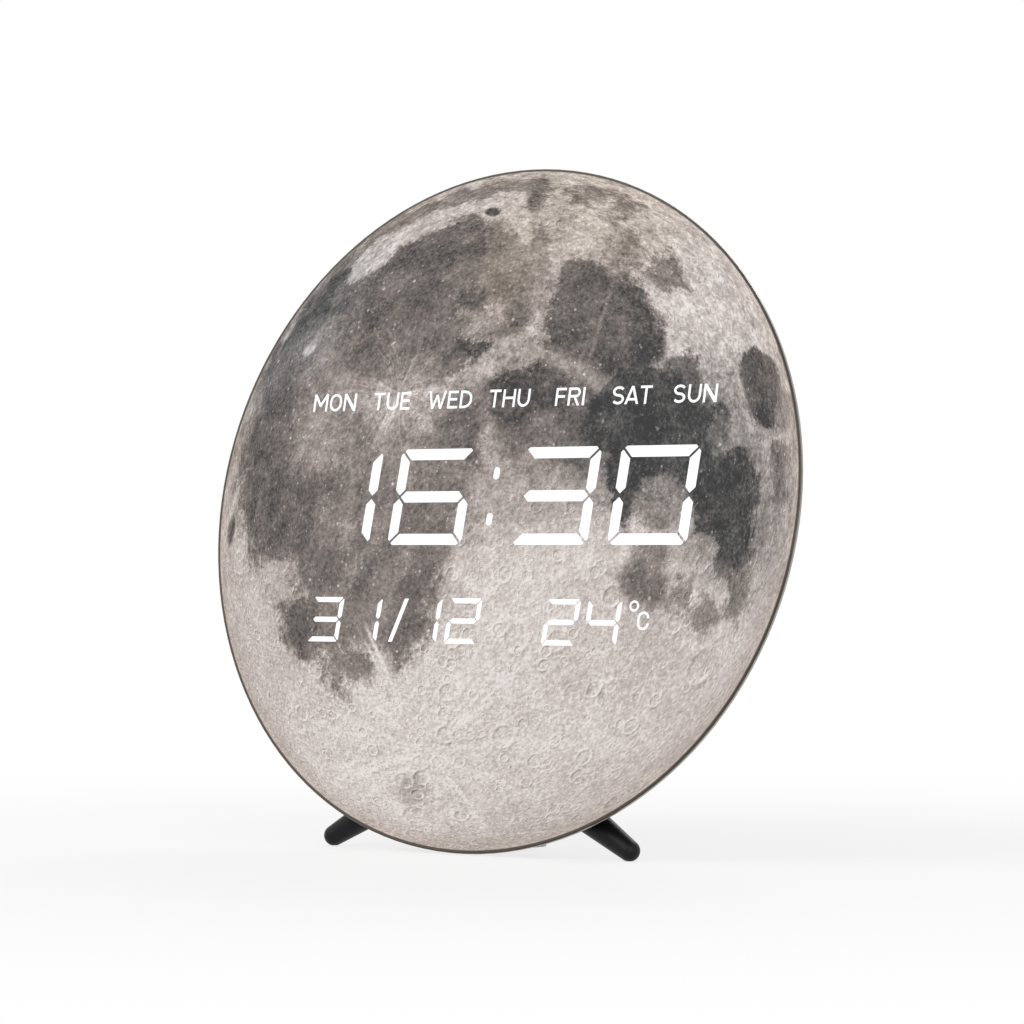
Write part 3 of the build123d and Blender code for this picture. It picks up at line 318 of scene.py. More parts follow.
# Dark plains and pale isles, each a blend of a few rounded outlines that swell a little past their corners
SWELL = 0.016
PLAINS = (
    # label, tone, softness, raggedness, corners of each outline
    ("Insularum", 0.5, 0.07, 0.3,
     [(-0.66, 0.12), (-0.52, 0.24), (-0.2, 0.22), (-0.1, 0.12), (-0.1, -0.08), (-0.22, -0.16),
      (-0.45, -0.14), (-0.62, -0.1)]),
    ("Insularum_dark", 0.41, 0.06, 0.25, [(-0.36, 0), (-0.22, 0.01), (-0.2, -0.07), (-0.34, -0.09)]),
    ("Cognitum", 0.42, 0.035, 0.3,
     [(-0.7, -0.12), (-0.58, -0.06), (-0.48, -0.12), (-0.5, -0.22), (-0.58, -0.28), (-0.66, -0.24)],
     [(-0.47, -0.17), (-0.38, -0.16), (-0.36, -0.26), (-0.44, -0.34), (-0.49, -0.3)]),
    ("Procellarum", 0.43, 0.02, 0.22,
     [(-0.93, 0.05), (-0.915, 0.22), (-0.87, 0.42), (-0.78, 0.46), (-0.7, 0.36), (-0.7, 0.1),
      (-0.78, -0.04), (-0.88, -0.05)],
     [(-0.72, 0.16), (-0.58, 0.16), (-0.54, 0), (-0.6, -0.12), (-0.76, -0.14), (-0.8, 0)],
     [(-0.905, 0.02), (-0.8, 0.04), (-0.72, -0.1), (-0.78, -0.15), (-0.845, -0.155), (-0.87, -0.07)],
     [(-0.88, 0.4), (-0.81, 0.53), (-0.68, 0.62), (-0.6, 0.5), (-0.7, 0.36)]),
    ("Procellarum_west", 0.375, 0.04, 0.3,
     [(-0.9, 0.04), (-0.9, 0.24), (-0.86, 0.36), (-0.79, 0.3), (-0.75, 0.08), (-0.76, -0.1),
      (-0.84, -0.11)]),
    ("pale_gap", 0.52, 0.05, 0.3,
     [(-0.6, 0), (-0.54, 0.03), (-0.5, -0.05), (-0.54, -0.11), (-0.59, -0.08)]),
    ("Roris", 0.335, 0.02, 0.1,
     [(-0.8, 0.53), (-0.72, 0.645), (-0.62, 0.755), (-0.555, 0.775), (-0.6, 0.7), (-0.68, 0.6)]),
    ("Imbrium_east", 0.5, 0.026, 0.2,
     [(-0.2, 0.855), (-0.06, 0.845), (-0.01, 0.79), (0, 0.64), (-0.12, 0.6), (-0.18, 0.7)]),
    ("Nebularum", 0.545, 0.03, 0.25, [(0, 0.82), (0.06, 0.81), (0.09, 0.7), (0.08, 0.6), (0, 0.6)]),
    ("Imbrium", 0.415, 0.011, 0.16,
     [(-0.72, 0.46), (-0.64, 0.66), (-0.5, 0.715), (-0.2, 0.72), (-0.13, 0.62), (-0.12, 0.48), (-0.2, 0.41),
      (-0.45, 0.4)],
     [(-0.47, 0.72), (-0.43, 0.8), (-0.33, 0.83), (-0.19, 0.872), (-0.14, 0.84), (-0.14, 0.7)]),
    ("Imbrium_north", 0.355, 0.03, 0.3,
     [(-0.42, 0.73), (-0.3, 0.72), (-0.24, 0.8), (-0.3, 0.825), (-0.4, 0.8)]),
    ("Imbrium_west", 0.375, 0.04, 0.3, [(-0.52, 0.53), (-0.42, 0.55), (-0.4, 0.63), (-0.54, 0.63)]),
    ("pale_west", 0.53, 0.04, 0.3,
     [(-0.765, 0.44), (-0.74, 0.52), (-0.69, 0.57), (-0.63, 0.56), (-0.58, 0.46), (-0.62, 0.37),
      (-0.74, 0.37)]),
    ("Imbrium_south", 0.325, 0.016, 0.2,
     [(-0.27, 0.405), (-0.14, 0.41), (-0.065, 0.475), (-0.085, 0.515), (-0.2, 0.49)]),
    ("Aestuum", 0.36, 0.04, 0.22,
     [(-0.22, 0.29), (-0.12, 0.31), (-0.07, 0.25), (-0.11, 0.17), (-0.18, 0.17), (-0.23, 0.22)]),
    ("Vaporum_south", 0.44, 0.05, 0.25,
     [(-0.06, 0.3), (0.12, 0.31), (0.28, 0.3), (0.3, 0.21), (0.2, 0.16), (0, 0.2)]),
    ("Vaporum", 0.305, 0.02, 0.2,
     [(-0.05, 0.35), (-0.02, 0.4), (0.1, 0.41), (0.13, 0.3), (0.06, 0.26), (-0.02, 0.28)],
     [(0.1, 0.28), (0.09, 0.42), (0.14, 0.45), (0.19, 0.4), (0.18, 0.3)]),
    ("Serenitatis", 0.385, 0.01, 0.12,
     [(0.16, 0.7), (0.2, 0.717), (0.262, 0.7), (0.31, 0.66), (0.2, 0.6), (0.155, 0.64)],
     [(0.112, 0.545), (0.16, 0.64), (0.31, 0.665), (0.37, 0.676), (0.42, 0.64), (0.475, 0.545),
      (0.47, 0.48), (0.405, 0.422), (0.298, 0.407), (0.2, 0.422), (0.135, 0.467)]),
    ("Serenitatis_east", 0.295, 0.022, 0.15,
     [(0.42, 0.62), (0.46, 0.57), (0.5, 0.5), (0.485, 0.42), (0.43, 0.4), (0.42, 0.5)]),
    ("Serenitatis_south", 0.325, 0.02, 0.15,
     [(0.21, 0.42), (0.3, 0.395), (0.43, 0.4), (0.4, 0.435), (0.27, 0.44)]),
    ("Serenitatis_west", 0.335, 0.02, 0.15,
     [(0.1, 0.5), (0.12, 0.55), (0.155, 0.55), (0.17, 0.46), (0.13, 0.45)]),
    ("Tranquillitatis_west", 0.4, 0.04, 0.25,
     [(0.22, 0.27), (0.3, 0.3), (0.36, 0.16), (0.3, 0.12), (0.2, 0.18)]),
    ("Tranquillitatis_fringe", 0.39, 0.014, 0.3,
     [(0.54, 0.4), (0.595, 0.437), (0.645, 0.4), (0.655, 0.355), (0.6, 0.335)],
     [(0.67, 0.27), (0.745, 0.25), (0.74, 0.19), (0.7, 0.13), (0.66, 0.15)]),
    ("Tranquillitatis", 0.27, 0.012, 0.16,
     [(0.3, 0.31), (0.36, 0.37), (0.44, 0.4), (0.56, 0.36), (0.64, 0.32), (0.7, 0.27), (0.66, 0.18),
      (0.45, 0.14), (0.34, 0.16), (0.28, 0.21)],
     [(0.45, 0.2), (0.66, 0.2), (0.72, 0.1), (0.69, 0.03), (0.46, 0.09)],
     [(0.38, 0.16), (0.47, 0.16), (0.47, 0.02), (0.44, -0.02), (0.4, 0.04)]),
    ("Fecunditatis", 0.275, 0.012, 0.2,
     [(0.69, 0.075), (0.745, 0.13), (0.805, 0.13), (0.868, 0.05), (0.86, -0.04), (0.862, -0.075),
      (0.8, -0.09), (0.69, -0.06)],
     [(0.762, -0.09), (0.86, -0.09), (0.84, -0.144), (0.838, -0.2), (0.82, -0.25), (0.8, -0.22),
      (0.79, -0.172)]),
    ("Fecunditatis_south", 0.48, 0.025, 0.25,
     [(0.8, -0.2), (0.85, -0.19), (0.86, -0.28), (0.83, -0.31), (0.8, -0.27)]),
    ("Nectaris", 0.445, 0.03, 0.14,
     [(0.465, -0.2), (0.5, -0.165), (0.57, -0.18), (0.605, -0.21), (0.595, -0.26), (0.55, -0.285),
      (0.49, -0.265)]),
    ("Nectaris_north", 0.53, 0.03, 0.2, [(0.51, -0.11), (0.58, -0.12), (0.58, -0.17), (0.52, -0.17)]),
    ("south_east_spots", 0.55, 0.02, 0.3,
     [(0.7, -0.285), (0.75, -0.275), (0.77, -0.31), (0.75, -0.35), (0.715, -0.335)],
     [(0.64, -0.25), (0.68, -0.24), (0.67, -0.29), (0.64, -0.28)]),
    ("Crisium", 0.325, 0.008, 0.07,
     [(0.812, 0.428), (0.855, 0.402), (0.892, 0.345), (0.911, 0.279), (0.903, 0.237), (0.872, 0.224),
      (0.84, 0.247), (0.806, 0.302), (0.789, 0.367), (0.792, 0.412)]),
    ("Marginis", 0.46, 0.012, 0.2,
     [(0.915, 0.29), (0.925, 0.3), (0.94, 0.22), (0.93, 0.22)],
     [(0.93, 0.16), (0.955, 0.15), (0.96, 0.02), (0.94, 0.03)]),
    ("Humorum_east", 0.48, 0.025, 0.25,
     [(-0.64, -0.26), (-0.56, -0.26), (-0.52, -0.33), (-0.54, -0.42), (-0.6, -0.45), (-0.64, -0.4)],
     [(-0.54, -0.3), (-0.4, -0.28), (-0.38, -0.4), (-0.52, -0.42)]),
    ("Humorum", 0.355, 0.022, 0.18,
     [(-0.715, -0.3), (-0.66, -0.265), (-0.62, -0.3), (-0.61, -0.38), (-0.64, -0.43), (-0.7, -0.38)]),
    ("Nubium", 0.525, 0.045, 0.3,
     [(-0.4, -0.17), (-0.28, -0.13), (-0.17, -0.17), (-0.2, -0.27), (-0.22, -0.38), (-0.36, -0.4),
      (-0.44, -0.3)]),
    ("Nubium_east", 0.41, 0.045, 0.3,
     [(-0.3, -0.18), (-0.21, -0.19), (-0.205, -0.3), (-0.23, -0.4), (-0.29, -0.455), (-0.33, -0.38)]),
    ("Epidemiarum", 0.475, 0.03, 0.3,
     [(-0.53, -0.46), (-0.47, -0.42), (-0.41, -0.43), (-0.38, -0.47), (-0.42, -0.515), (-0.5, -0.53)]),
    ("Frigoris", 0.43, 0.016, 0.18,
     [(0, 0.945), (0.05, 0.955), (0.07, 0.92), (0.055, 0.89), (0.02, 0.895)]),
    ("Frigoris_east", 0.48, 0.02, 0.22,
     [(0.18, 0.93), (0.24, 0.935), (0.28, 0.91), (0.22, 0.9)],
     [(0.28, 0.9), (0.34, 0.895), (0.38, 0.86), (0.33, 0.85)]),
    ("Frigoris_west", 0.5, 0.016, 0.2,
     [(-0.45, 0.875), (-0.36, 0.908), (-0.25, 0.935), (-0.16, 0.945), (-0.16, 0.915), (-0.25, 0.9),
      (-0.36, 0.87)],
     [(-0.17, 0.94), (-0.1, 0.962), (-0.02, 0.955), (0, 0.93), (-0.06, 0.925), (-0.17, 0.91)]),
    ("Somniorum", 0.48, 0.02, 0.25,
     [(0.45, 0.7), (0.5, 0.715), (0.54, 0.67), (0.56, 0.64), (0.5, 0.635), (0.46, 0.66)]),
    ("Mortis", 0.565, 0.03, 0.25, [(0.29, 0.76), (0.34, 0.79), (0.4, 0.77), (0.41, 0.71), (0.33, 0.7)]),
    ("Frigoris_far_west", 0.49, 0.014, 0.16,
     [(-0.6, 0.76), (-0.52, 0.85), (-0.44, 0.89), (-0.4, 0.87), (-0.47, 0.83), (-0.55, 0.775)]),
    ("jagged_arc", 0.75, 0.008, 0.13,
     [(-0.6, 0.695), (-0.545, 0.78), (-0.475, 0.82), (-0.445, 0.8), (-0.487, 0.752), (-0.545, 0.7)],
     [(-0.47, 0.822), (-0.425, 0.845), (-0.33, 0.876), (-0.3, 0.862), (-0.34, 0.838), (-0.44, 0.812)],
     [(-0.33, 0.874), (-0.226, 0.888), (-0.165, 0.897), (-0.17, 0.892), (-0.226, 0.88), (-0.29, 0.864)],
     [(-0.165, 0.897), (-0.062, 0.914), (-0.005, 0.9), (-0.03, 0.866), (-0.14, 0.876)],
     [(-0.01, 0.9), (0.005, 0.88), (0.016, 0.83), (0.01, 0.8), (-0.005, 0.82), (-0.035, 0.855)]),
    ("island", 0.62, 0.014, 0.2,
     [(-0.175, 0.575), (-0.14, 0.57), (-0.05, 0.53), (-0.05, 0.5), (-0.13, 0.49), (-0.165, 0.52)]),
    ("ridge", 0.65, 0.014, 0.42,
     [(-0.13, 0.405), (-0.07, 0.47), (0.03, 0.55), (0.09, 0.56), (0.1, 0.48), (0.05, 0.42)]),
    ("Putredinis", 0.45, 0.02, 0.2, [(-0.03, 0.53), (0.02, 0.575), (0.04, 0.55), (0.01, 0.52)]),
    ("east_isle", 0.54, 0.026, 0.22,
     [(0.51, 0.07), (0.56, 0.085), (0.62, 0.05), (0.63, -0.03), (0.56, -0.05), (0.49, 0)]),
    ("splash_ground", 0.6, 0.08, 0.3,
     [(-0.52, 0.34), (-0.42, 0.39), (-0.24, 0.37), (-0.22, 0.27), (-0.36, 0.22), (-0.5, 0.26)]),
)
map_group, given, result = effect(
    "lunar_map", {"Place": "Vector", "Ragged": "Float", "Tone": "Float"}, {"Tone": "Float"})
mapped = given["Tone"]
for label, plain_tone, softness, raggedness, *outlines in PLAINS:
    distance = None
    for corners in outlines:
        edge = outside(map_group, given["Place"], corners)
        distance = edge if distance is None else calc(map_group, "SMOOTH_MIN", distance, edge, SOFT_CORNER)
    frayed = calc(map_group, "MULTIPLY_ADD", given["Ragged"], raggedness, distance)
    inside = ease(map_group, frayed, SWELL - softness, SWELL + softness, 1.0, 0.0)
    inside.node.label = label
    mapped = near_to(map_group, mapped, plain_tone, inside)
map_group.links.new(mapped, result["Tone"])
tone = place_effect(tree, map_group, {"Place": shore, "Ragged": ragged, "Tone": tone})["Tone"]

# How far a point lies in the dark plains, for what is laid over them
PALE_GROUND = 0.66
DARK_GROUND = 0.46
darkness = ease(tree, tone, PALE_GROUND, DARK_GROUND)

# Pale dust that rays out from young craters, and single spots and streaks
RAYS = (
    # label, middle, reach, streaks, gain
    ("west_splash", (-0.37, 0.34), 0.40, 13.0, 0.18),
    ("far_west_splash", (-0.66, 0.22), 0.24, 9.0, 0.19),
    ("south_splash", (-0.14, -0.72), 1.00, 5.0, 0.09),
)
for label, middle, reach, streak_count, gain in RAYS:
    splash = {"Place": shore, "Tone": tone, "Centre": (*middle, 0), "Reach": reach, "Streaks": streak_count,
              "Gain": gain}
    tone = place_effect(tree, ray_group, splash)["Tone"]
    tone.node.label = label
SPOTS = (
    # label, middle, radii, turn, softness, tone
    ("dark_north_crater", (-0.113, 0.880), (0.027, 0.013), 0.0, 0.30, 0.28),
    ("dark_west_crater", (-0.951, -0.065), (0.012, 0.042), 0.0, 0.35, 0.33),
    ("grey_south_crater", (-0.184, -0.83), (0.050, 0.046), 0.0, 0.40, 0.70),
    ("far_west_glow", (-0.66, 0.22), (0.075, 0.095), 0.1, 0.90, 0.63),
    ("speckled_ridge", (0.22, 0.405), (0.13, 0.026), -0.40, 0.90, 0.58),
    ("bright_spot", (-0.727, 0.487), (0.024, 0.012), 0.75, 0.50, 1.0),
    ("bright_tail", (-0.708, 0.52), (0.060, 0.010), 0.95, 0.90, 0.62),
    ("streak", (-0.315, -0.50), (0.15, 0.0075), -0.98, 0.60, 0.90),
    ("second_streak", (-0.345, -0.485), (0.11, 0.0055), -0.92, 0.70, 0.86),
    ("thin_ray", (0.30, 0.53), (0.006, 0.12), -0.25, 0.90, 0.50),
)
for label, middle, radii, turn, softness, spot_tone in SPOTS:
    tone = oval(tree, disc, ragged, tone, middle, radii, turn, softness, spot_tone)
    tone.node.label = label

# The pale edge of the ball, except along the dark north west
LIMB_TONE = 0.68
LIMB_SPAN = (0.86, 0.97)
southern = ease(tree, up_y, 0.50, 0.25, 0.0, 0.55)
tone = near_to(tree, tone, LIMB_TONE, calc(tree, "MULTIPLY", ease(tree, rim_square, *LIMB_SPAN), southern))

# Craters and rough ground in low light, strongest on the pale highlands.
# They lie on the disc unrolled from the ball, so they grow narrow towards its edge.
CRATERS = ((5.5, 0.13), (11.0, 0.19), (21.0, 0.26), (43.0, 0.26))
CRATER_PUSH = (0.03, 0.03, 0.0)
SHADOW_STEP = (0.005, -0.004, 0.0)
SHADOW_GAIN = 0.60
light = calc(tree, "MULTIPLY_ADD", darkness, -0.55, 1.0)
light = calc(tree, "MULTIPLY", light, ease(tree, up_y, 0.15, -0.55, 0.60, 1.0))
from_middle = calc(tree, "SQRT", calc(tree, "MINIMUM", rim_square, 0.998))
unrolled = calc(tree, "DIVIDE", calc(tree, "ARCSINE", from_middle), calc(tree, "MAXIMUM", from_middle, 0.001))
stretch = vector(tree, unrolled, unrolled)
ground = shift(tree, "MULTIPLY_ADD", pushed, CRATER_PUSH, shift(tree, "MULTIPLY", disc, stretch))
for crater_scale, strength in CRATERS:
    relief = place_effect(tree, relief_group, {"Place": ground, "Scale": crater_scale})["Relief"]
    tone = calc(tree, "MULTIPLY_ADD", calc(tree, "MULTIPLY", relief, light), strength, tone)
near = cloudy(tree, ball, 40.0, 6.0, 0.72)
far = cloudy(tree, shift(tree, "ADD", ball, SHADOW_STEP), 40.0, 6.0, 0.72)
slope = calc(tree, "MULTIPLY", calc(tree, "SUBTRACT", near, far), light)
tone = calc(tree, "MULTIPLY_ADD", slope, SHADOW_GAIN, tone)


def mottle(tone, noise, strength):
    """The tone made uneven by a noise about a half."""
    return calc(tree, "MULTIPLY_ADD", calc(tree, "SUBTRACT", noise, 0.5), strength, tone)


# Mottled ground, and pale grains scattered over the dark plains
GRAINS = (38.0, 75.0)
GRAIN_GAIN = 0.26
GRIT_GAIN = 0.50
rough = cloudy(tree, ball, 11.0, 13.0, 0.82)
northern = ease(tree, up_y, -0.50, 0.10, 0.42, 1.20)
calm = calc(tree, "MULTIPLY_ADD", darkness, -0.15, 1.0)
tone = mottle(tone, rough, calc(tree, "MULTIPLY", northern, calm))
peaks = cloudy(tree, ball, 36.0, 5.0, 0.70)
rugged = calc(tree, "MULTIPLY", ease(tree, darkness, 0.9, 0.2), ease(tree, up_y, -0.05, 0.35, 0.0, 0.60))
tone = mottle(tone, peaks, rugged)
grit = cloudy(tree, ball, 85.0, 3.0, 0.65)
tone = mottle(tone, grit, GRIT_GAIN)
for grain_scale in GRAINS:
    grains = add(tree, "ShaderNodeTexVoronoi", {"Vector": ball, "Scale": grain_scale}).outputs
    lot = add(tree, "ShaderNodeSeparateColor", {"Color": grains["Color"]}).outputs
    dot_size = calc(tree, "MULTIPLY", calc(tree, "POWER", lot["Red"], 3.0), 0.32)
    dot = ease(tree, grains["Distance"], dot_size, calc(tree, "MULTIPLY", dot_size, 0.4))
    shine = calc(tree, "MULTIPLY_ADD", darkness, GRAIN_GAIN, 0.03)
    tone = calc(tree, "MULTIPLY_ADD", dot, shine, tone)

# Warm grey inks, from the darkest plain to the palest ground
MOON_INKS = (
    (0.20, ink(54, 52, 52)), (0.29, ink(77, 74, 73)), (0.43, ink(118, 110, 106)), (0.56, ink(153, 142, 136)),
    (0.72, ink(195, 184, 180)), (0.80, ink(214, 203, 198)), (0.95, ink(247, 240, 236)),
)
ink_colour = ramp(tree, tone, MOON_INKS)

# Colder ink in the darkest plains and along the north-west limb, warmer ink about the north and the edge
WARM = (1.02, 1.0, 0.94, 1)
TAN = (1.0, 0.98, 0.945, 1)
TAN_SPAN = (0.88, 0.985)
TINTS = (
    # middle, radii, turn, tint
    ((-0.76, 0.55), (0.12, 0.30), -0.65, (0.90, 0.99, 1.06, 1)),
    ((0.52, 0.22), (0.26, 0.20), 0.0, (0.93, 1.0, 1.03, 1)),
    ((0.80, 0.0), (0.14, 0.20), 0.35, (0.95, 1.0, 1.02, 1)),
    ((-0.05, 0.72), (0.14, 0.16), 0.0, WARM),
    ((0.28, 0.84), (0.24, 0.12), -0.3, WARM),
)
for middle, radii, turn, tint in TINTS:
    patch = oval(tree, shore, ragged, 0.0, middle, radii, turn, 0.7, 1.0)
    ink_colour = blend(tree, patch, ink_colour, tint, "MULTIPLY")
ink_colour = blend(tree, ease(tree, rim_square, *TAN_SPAN), ink_colour, TAN, "MULTIPLY")

# A dark line printed round the edge, a quarter of a millimetre off centre, as on many printed sheets
BORDER_INK = ink(94, 85, 76)
BORDER_OFF = (0.0022, 0.0006, 0.0)
BORDER_SPAN = (0.9865, 0.9910)
off_centre = shift(tree, "SUBTRACT", shift(tree, "MULTIPLY", disc, (1, 1, 0)), BORDER_OFF)
ring_square = shift(tree, "DOT_PRODUCT", off_centre, off_centre)
ink_colour = blend(tree, ease(tree, ring_square, *BORDER_SPAN), ink_colour, BORDER_INK)
weave = cloudy(tree, disc, 260.0, 2.0)
feed(tree, surface, Base_Color=ink_colour, Roughness=ease(tree, weave, 0.3, 0.7, 0.50, 0.64),
     Normal=bumped(tree, weave, 0.06, 0.0002))
paint(print_material, "moon_print")

# Lit strokes of the time, the date and the temperature.
# White light that comes through the windows of the print from a small LED behind each stroke.
# The opal film behind spreads it, so a stroke is nearly even in shade.
light_material, tree, surface = finish(
    "lit_stroke", Base_Color=(0.25, 0.25, 0.25, 1), Roughness=0.5, Emission_Strength=0.88,
    Specular_IOR_Level=0.2)
place = object_place(tree, face_middle, face_turn)
spread = cloudy(tree, place, 130.0, 2.0)
speck = cloudy(tree, place, 2600.0, 1.0)
glow = calc(tree, "MULTIPLY_ADD", speck, 0.25, spread)
feed(tree, surface, Emission_Color=ramp(tree, glow, ((0.25, ink(244, 247, 255)), (0.75, ink(255, 255, 255)))))
paint(light_material, "time_lights", "date_lights", "temperature_lights")

# Weekday words above the time.
# Narrow white capitals that shine through the print like the digits, drawn with one even stroke.
# They are thin flat plates that lie on the film.
CAP_HEIGHT = 0.0066
CAP_STROKE = 0.00092
CAP_SLANT = tan(radians(2.0))
CAP_GAP = 0.0010
CAP_LIFT = 0.00004
WEEKDAY_ROW = 0.0397
WEEKDAY_X = 0.0017
WEEKDAY_PITCH = 0.0260
CAP_WIDTHS = {"A": 0.0058, "D": 0.0052, "E": 0.0044, "F": 0.0043, "H": 0.0054, "I": CAP_STROKE, "L": 0.0042,
              "M": 0.0064, "N": 0.0056, "O": 0.0054, "R": 0.0051, "S": 0.0049, "T": 0.0049, "U": 0.0053,
              "W": 0.0076}
CLOSE_PAIRS = ("AT", "SA")
CLOSE_SHARE = 0.35


def arc(centre_x, centre_y, radius_x, radius_y, start, end, steps=10):
    """Points on part of an oval, from one angle to another in degrees."""
    turns = [radians(start + (end - start) * step / steps) for step in range(steps + 1)]
    return [(centre_x + radius_x * cos(turn), centre_y + radius_y * sin(turn)) for turn in turns]


def ribbon(path, closed=False):
    """Four-cornered pieces of a stroke of even width along a path."""
    half = CAP_STROKE / 2
    sides = []
    last = len(path) - 1
    for index, (x, y) in enumerate(path):
        before = path[index - 1] if index or closed else path[index]
        after = path[(index + 1) % len(path)] if index < last or closed else path[index]
        run, rise = after[0] - before[0], after[1] - before[1]
        span = hypot(run, rise)
        side_x, side_y = -rise / span * half, run / span * half
        sides.append(((x + side_x, y + side_y), (x - side_x, y - side_y)))
    if closed:
        sides.append(sides[0])
    return [[a[0], a[1], b[1], b[0]] for a, b in zip(sides, sides[1:])]


def bar(x0, y0, x1, y1):
    """An upright rectangle."""
    return [(x0, y0), (x1, y0), (x1, y1), (x0, y1)]


def capital(letter):
    """Flat outlines that make one capital letter, from its lower left corner."""
    wide, high, pen = CAP_WIDTHS[letter], CAP_HEIGHT, CAP_STROKE
    half = pen / 2
    middle = (high - pen) * 0.52
    if letter in "OU":
        round_x, round_y = wide * 0.5 - half, wide * 0.44
        bottom = arc(wide / 2, half + round_y, round_x, round_y, 180, 360, 16)
        if letter == "U":
            return ribbon([(half, high)] + bottom + [(wide - half, high)])
        top = arc(wide / 2, high - half - round_y, round_x, round_y, 0, 180, 16)
        return ribbon(top + bottom, closed=True)
    if letter == "D":
        round_x, round_y = wide * 0.62, high * 0.36
        right = wide - half - round_x
        path = [(half, half)] + arc(right, half + round_y, round_x, round_y, -90, 0)
        path += arc(right, high - half - round_y, round_x, round_y, 0, 90) + [(half, high - half)]
        return ribbon(path) + [bar(0, 0, half, high), bar(half, pen, pen, high - pen)]
    if letter == "S":
        round_x, round_y = wide / 2 - half, (high - pen) / 4
        top = arc(wide / 2, high - half - round_y, round_x, round_y, 28, 250, 16)
        bottom = arc(wide / 2, half + round_y, round_x, round_y, 70, -152, 16)
        return ribbon(top + bottom)
    if letter == "R":
        round_y = (high - half - middle - half) / 2
        bend = arc(wide - half - round_y, high - half - round_y, round_y, round_y, 90, -90, 12)
        knee = wide * 0.46
        leg = [(knee, middle), (wide - pen * 1.15, 0), (wide, 0), (knee + pen * 1.15, middle)]
        bowl = [(pen, high - half)] + bend + [(pen, middle + half)]
        return ribbon(bowl) + [bar(0, 0, pen, high), leg]
    if letter == "M":
        dip = high * 0.28
        return [[(0, 0), (pen, 0), (pen, high * 0.74), (wide / 2 - pen * 0.32, dip),
                 (wide / 2 + pen * 0.32, dip), (wide - pen, high * 0.74), (wide - pen, 0), (wide, 0),
                 (wide, high), (wide - pen * 1.05, high), (wide / 2, dip + pen * 1.45), (pen * 1.05, high),
                 (0, high)]]
    if letter == "N":
        return [[(0, 0), (pen, 0), (pen, high * 0.72), (wide - pen * 1.12, 0), (wide, 0), (wide, high),
                 (wide - pen, high), (wide - pen, high * 0.28), (pen * 1.12, high), (0, high)]]
    if letter == "W":
        foot, peak, toe = wide * 0.27, high * 0.80, pen * 0.52
        return [[(0, high), (foot - toe, 0), (foot + toe, 0), (wide / 2, peak - pen * 1.5),
                 (wide - foot - toe, 0), (wide - foot + toe, 0), (wide, high), (wide - pen, high),
                 (wide - foot, pen * 1.7), (wide / 2 + pen * 0.45, peak), (wide / 2 - pen * 0.45, peak),
                 (foot, pen * 1.7), (pen, high)]]
    if letter == "A":
        low, tall, foot = high * 0.20, high * 0.20 + pen * 0.95, pen * 1.06
        legs = [(0, 0), (foot, 0), (wide / 2, high - pen * 1.5), (wide - foot, 0), (wide, 0),
                (wide / 2 + pen * 0.55, high), (wide / 2 - pen * 0.55, high)]
        inner = (wide / 2 - foot) / (high - pen * 1.5)
        return [legs, [(foot + inner * low, low), (wide - foot - inner * low, low),
                       (wide - foot - inner * tall, tall), (foot + inner * tall, tall)]]
    stem = (wide - pen) / 2 if letter in "TI" else 0
    parts = [bar(stem, 0, stem + pen, high - (pen if letter == "T" else 0))]
    if letter == "T":
        parts.append(bar(0, high - pen, wide, high))
    if letter in "EF":
        parts += [bar(pen, high - pen, wide, high), bar(pen, middle, wide * 0.92, middle + pen)]
    if letter in "EL":
        parts.append(bar(pen, 0, wide, pen))
    if letter == "H":
        parts += [bar(pen, middle, wide - pen, middle + pen), bar(wide - pen, 0, wide, high)]
    return parts


def on_face(x, y, lift):
    """A point of the face, x to the right, y up the face and lift out of it."""
    return face_middle + Vector((x, 0, 0)) + face_up * y + face_out * lift


def written(word, middle_x, middle_y, slant=0.0, size=1.0):
    """Outlines of a word in capitals about its middle."""
    pairs = zip(word, word[1:])
    gaps = [CAP_GAP * (CLOSE_SHARE if first + second in CLOSE_PAIRS else 1.0) for first, second in pairs]
    pen_x = -(sum(CAP_WIDTHS[letter] for letter in word) + sum(gaps)) / 2
    outlines = []
    for letter, gap in zip(word, gaps + [0]):
        for outline in capital(letter):
            centred = [(pen_x + x, y - CAP_HEIGHT / 2) for x, y in outline]
            outlines.append([(middle_x + (x + y * slant) * size, middle_y + y * size) for x, y in centred])
        pen_x += CAP_WIDTHS[letter] + gap
    return outlines


def plates(name, outlines, base, top, point_on=on_face):
    """A mesh of flat plates with these outlines, between two heights over the face or another surface."""
    points, faces = [], []
    for outline in outlines:
        area = sum(a[0] * b[1] - b[0] * a[1] for a, b in zip(outline, outline[1:] + outline[:1]))
        ring = outline if area > 0 else outline[::-1]
        start, count = len(points), len(ring)
        points += [point_on(x, y, top) for x, y in ring] + [point_on(x, y, base) for x, y in ring]
        faces.append([start + step for step in range(count)])
        faces.append([start + count + step for step in reversed(range(count))])
        for step in range(count):
            after = (step + 1) % count
            faces.append([start + step, start + count + step, start + count + after, start + after])
    mesh = bpy.data.meshes.new(name)
    mesh.from_pydata(points, [], faces)
    piece = bpy.data.objects.new(name, mesh)
    bpy.context.collection.objects.link(piece)
    return piece


for day, word in enumerate(("MON", "TUE", "WED", "THU", "FRI", "SAT", "SUN")):
    outlines = written(word, WEEKDAY_X + (day - 3) * WEEKDAY_PITCH, WEEKDAY_ROW, CAP_SLANT)
    word_plate = plates(f"weekday_{word.lower()}", outlines, 0.0, CAP_LIFT)
    word_plate.data.materials.append(light_material)
    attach(word_plate, "clock")

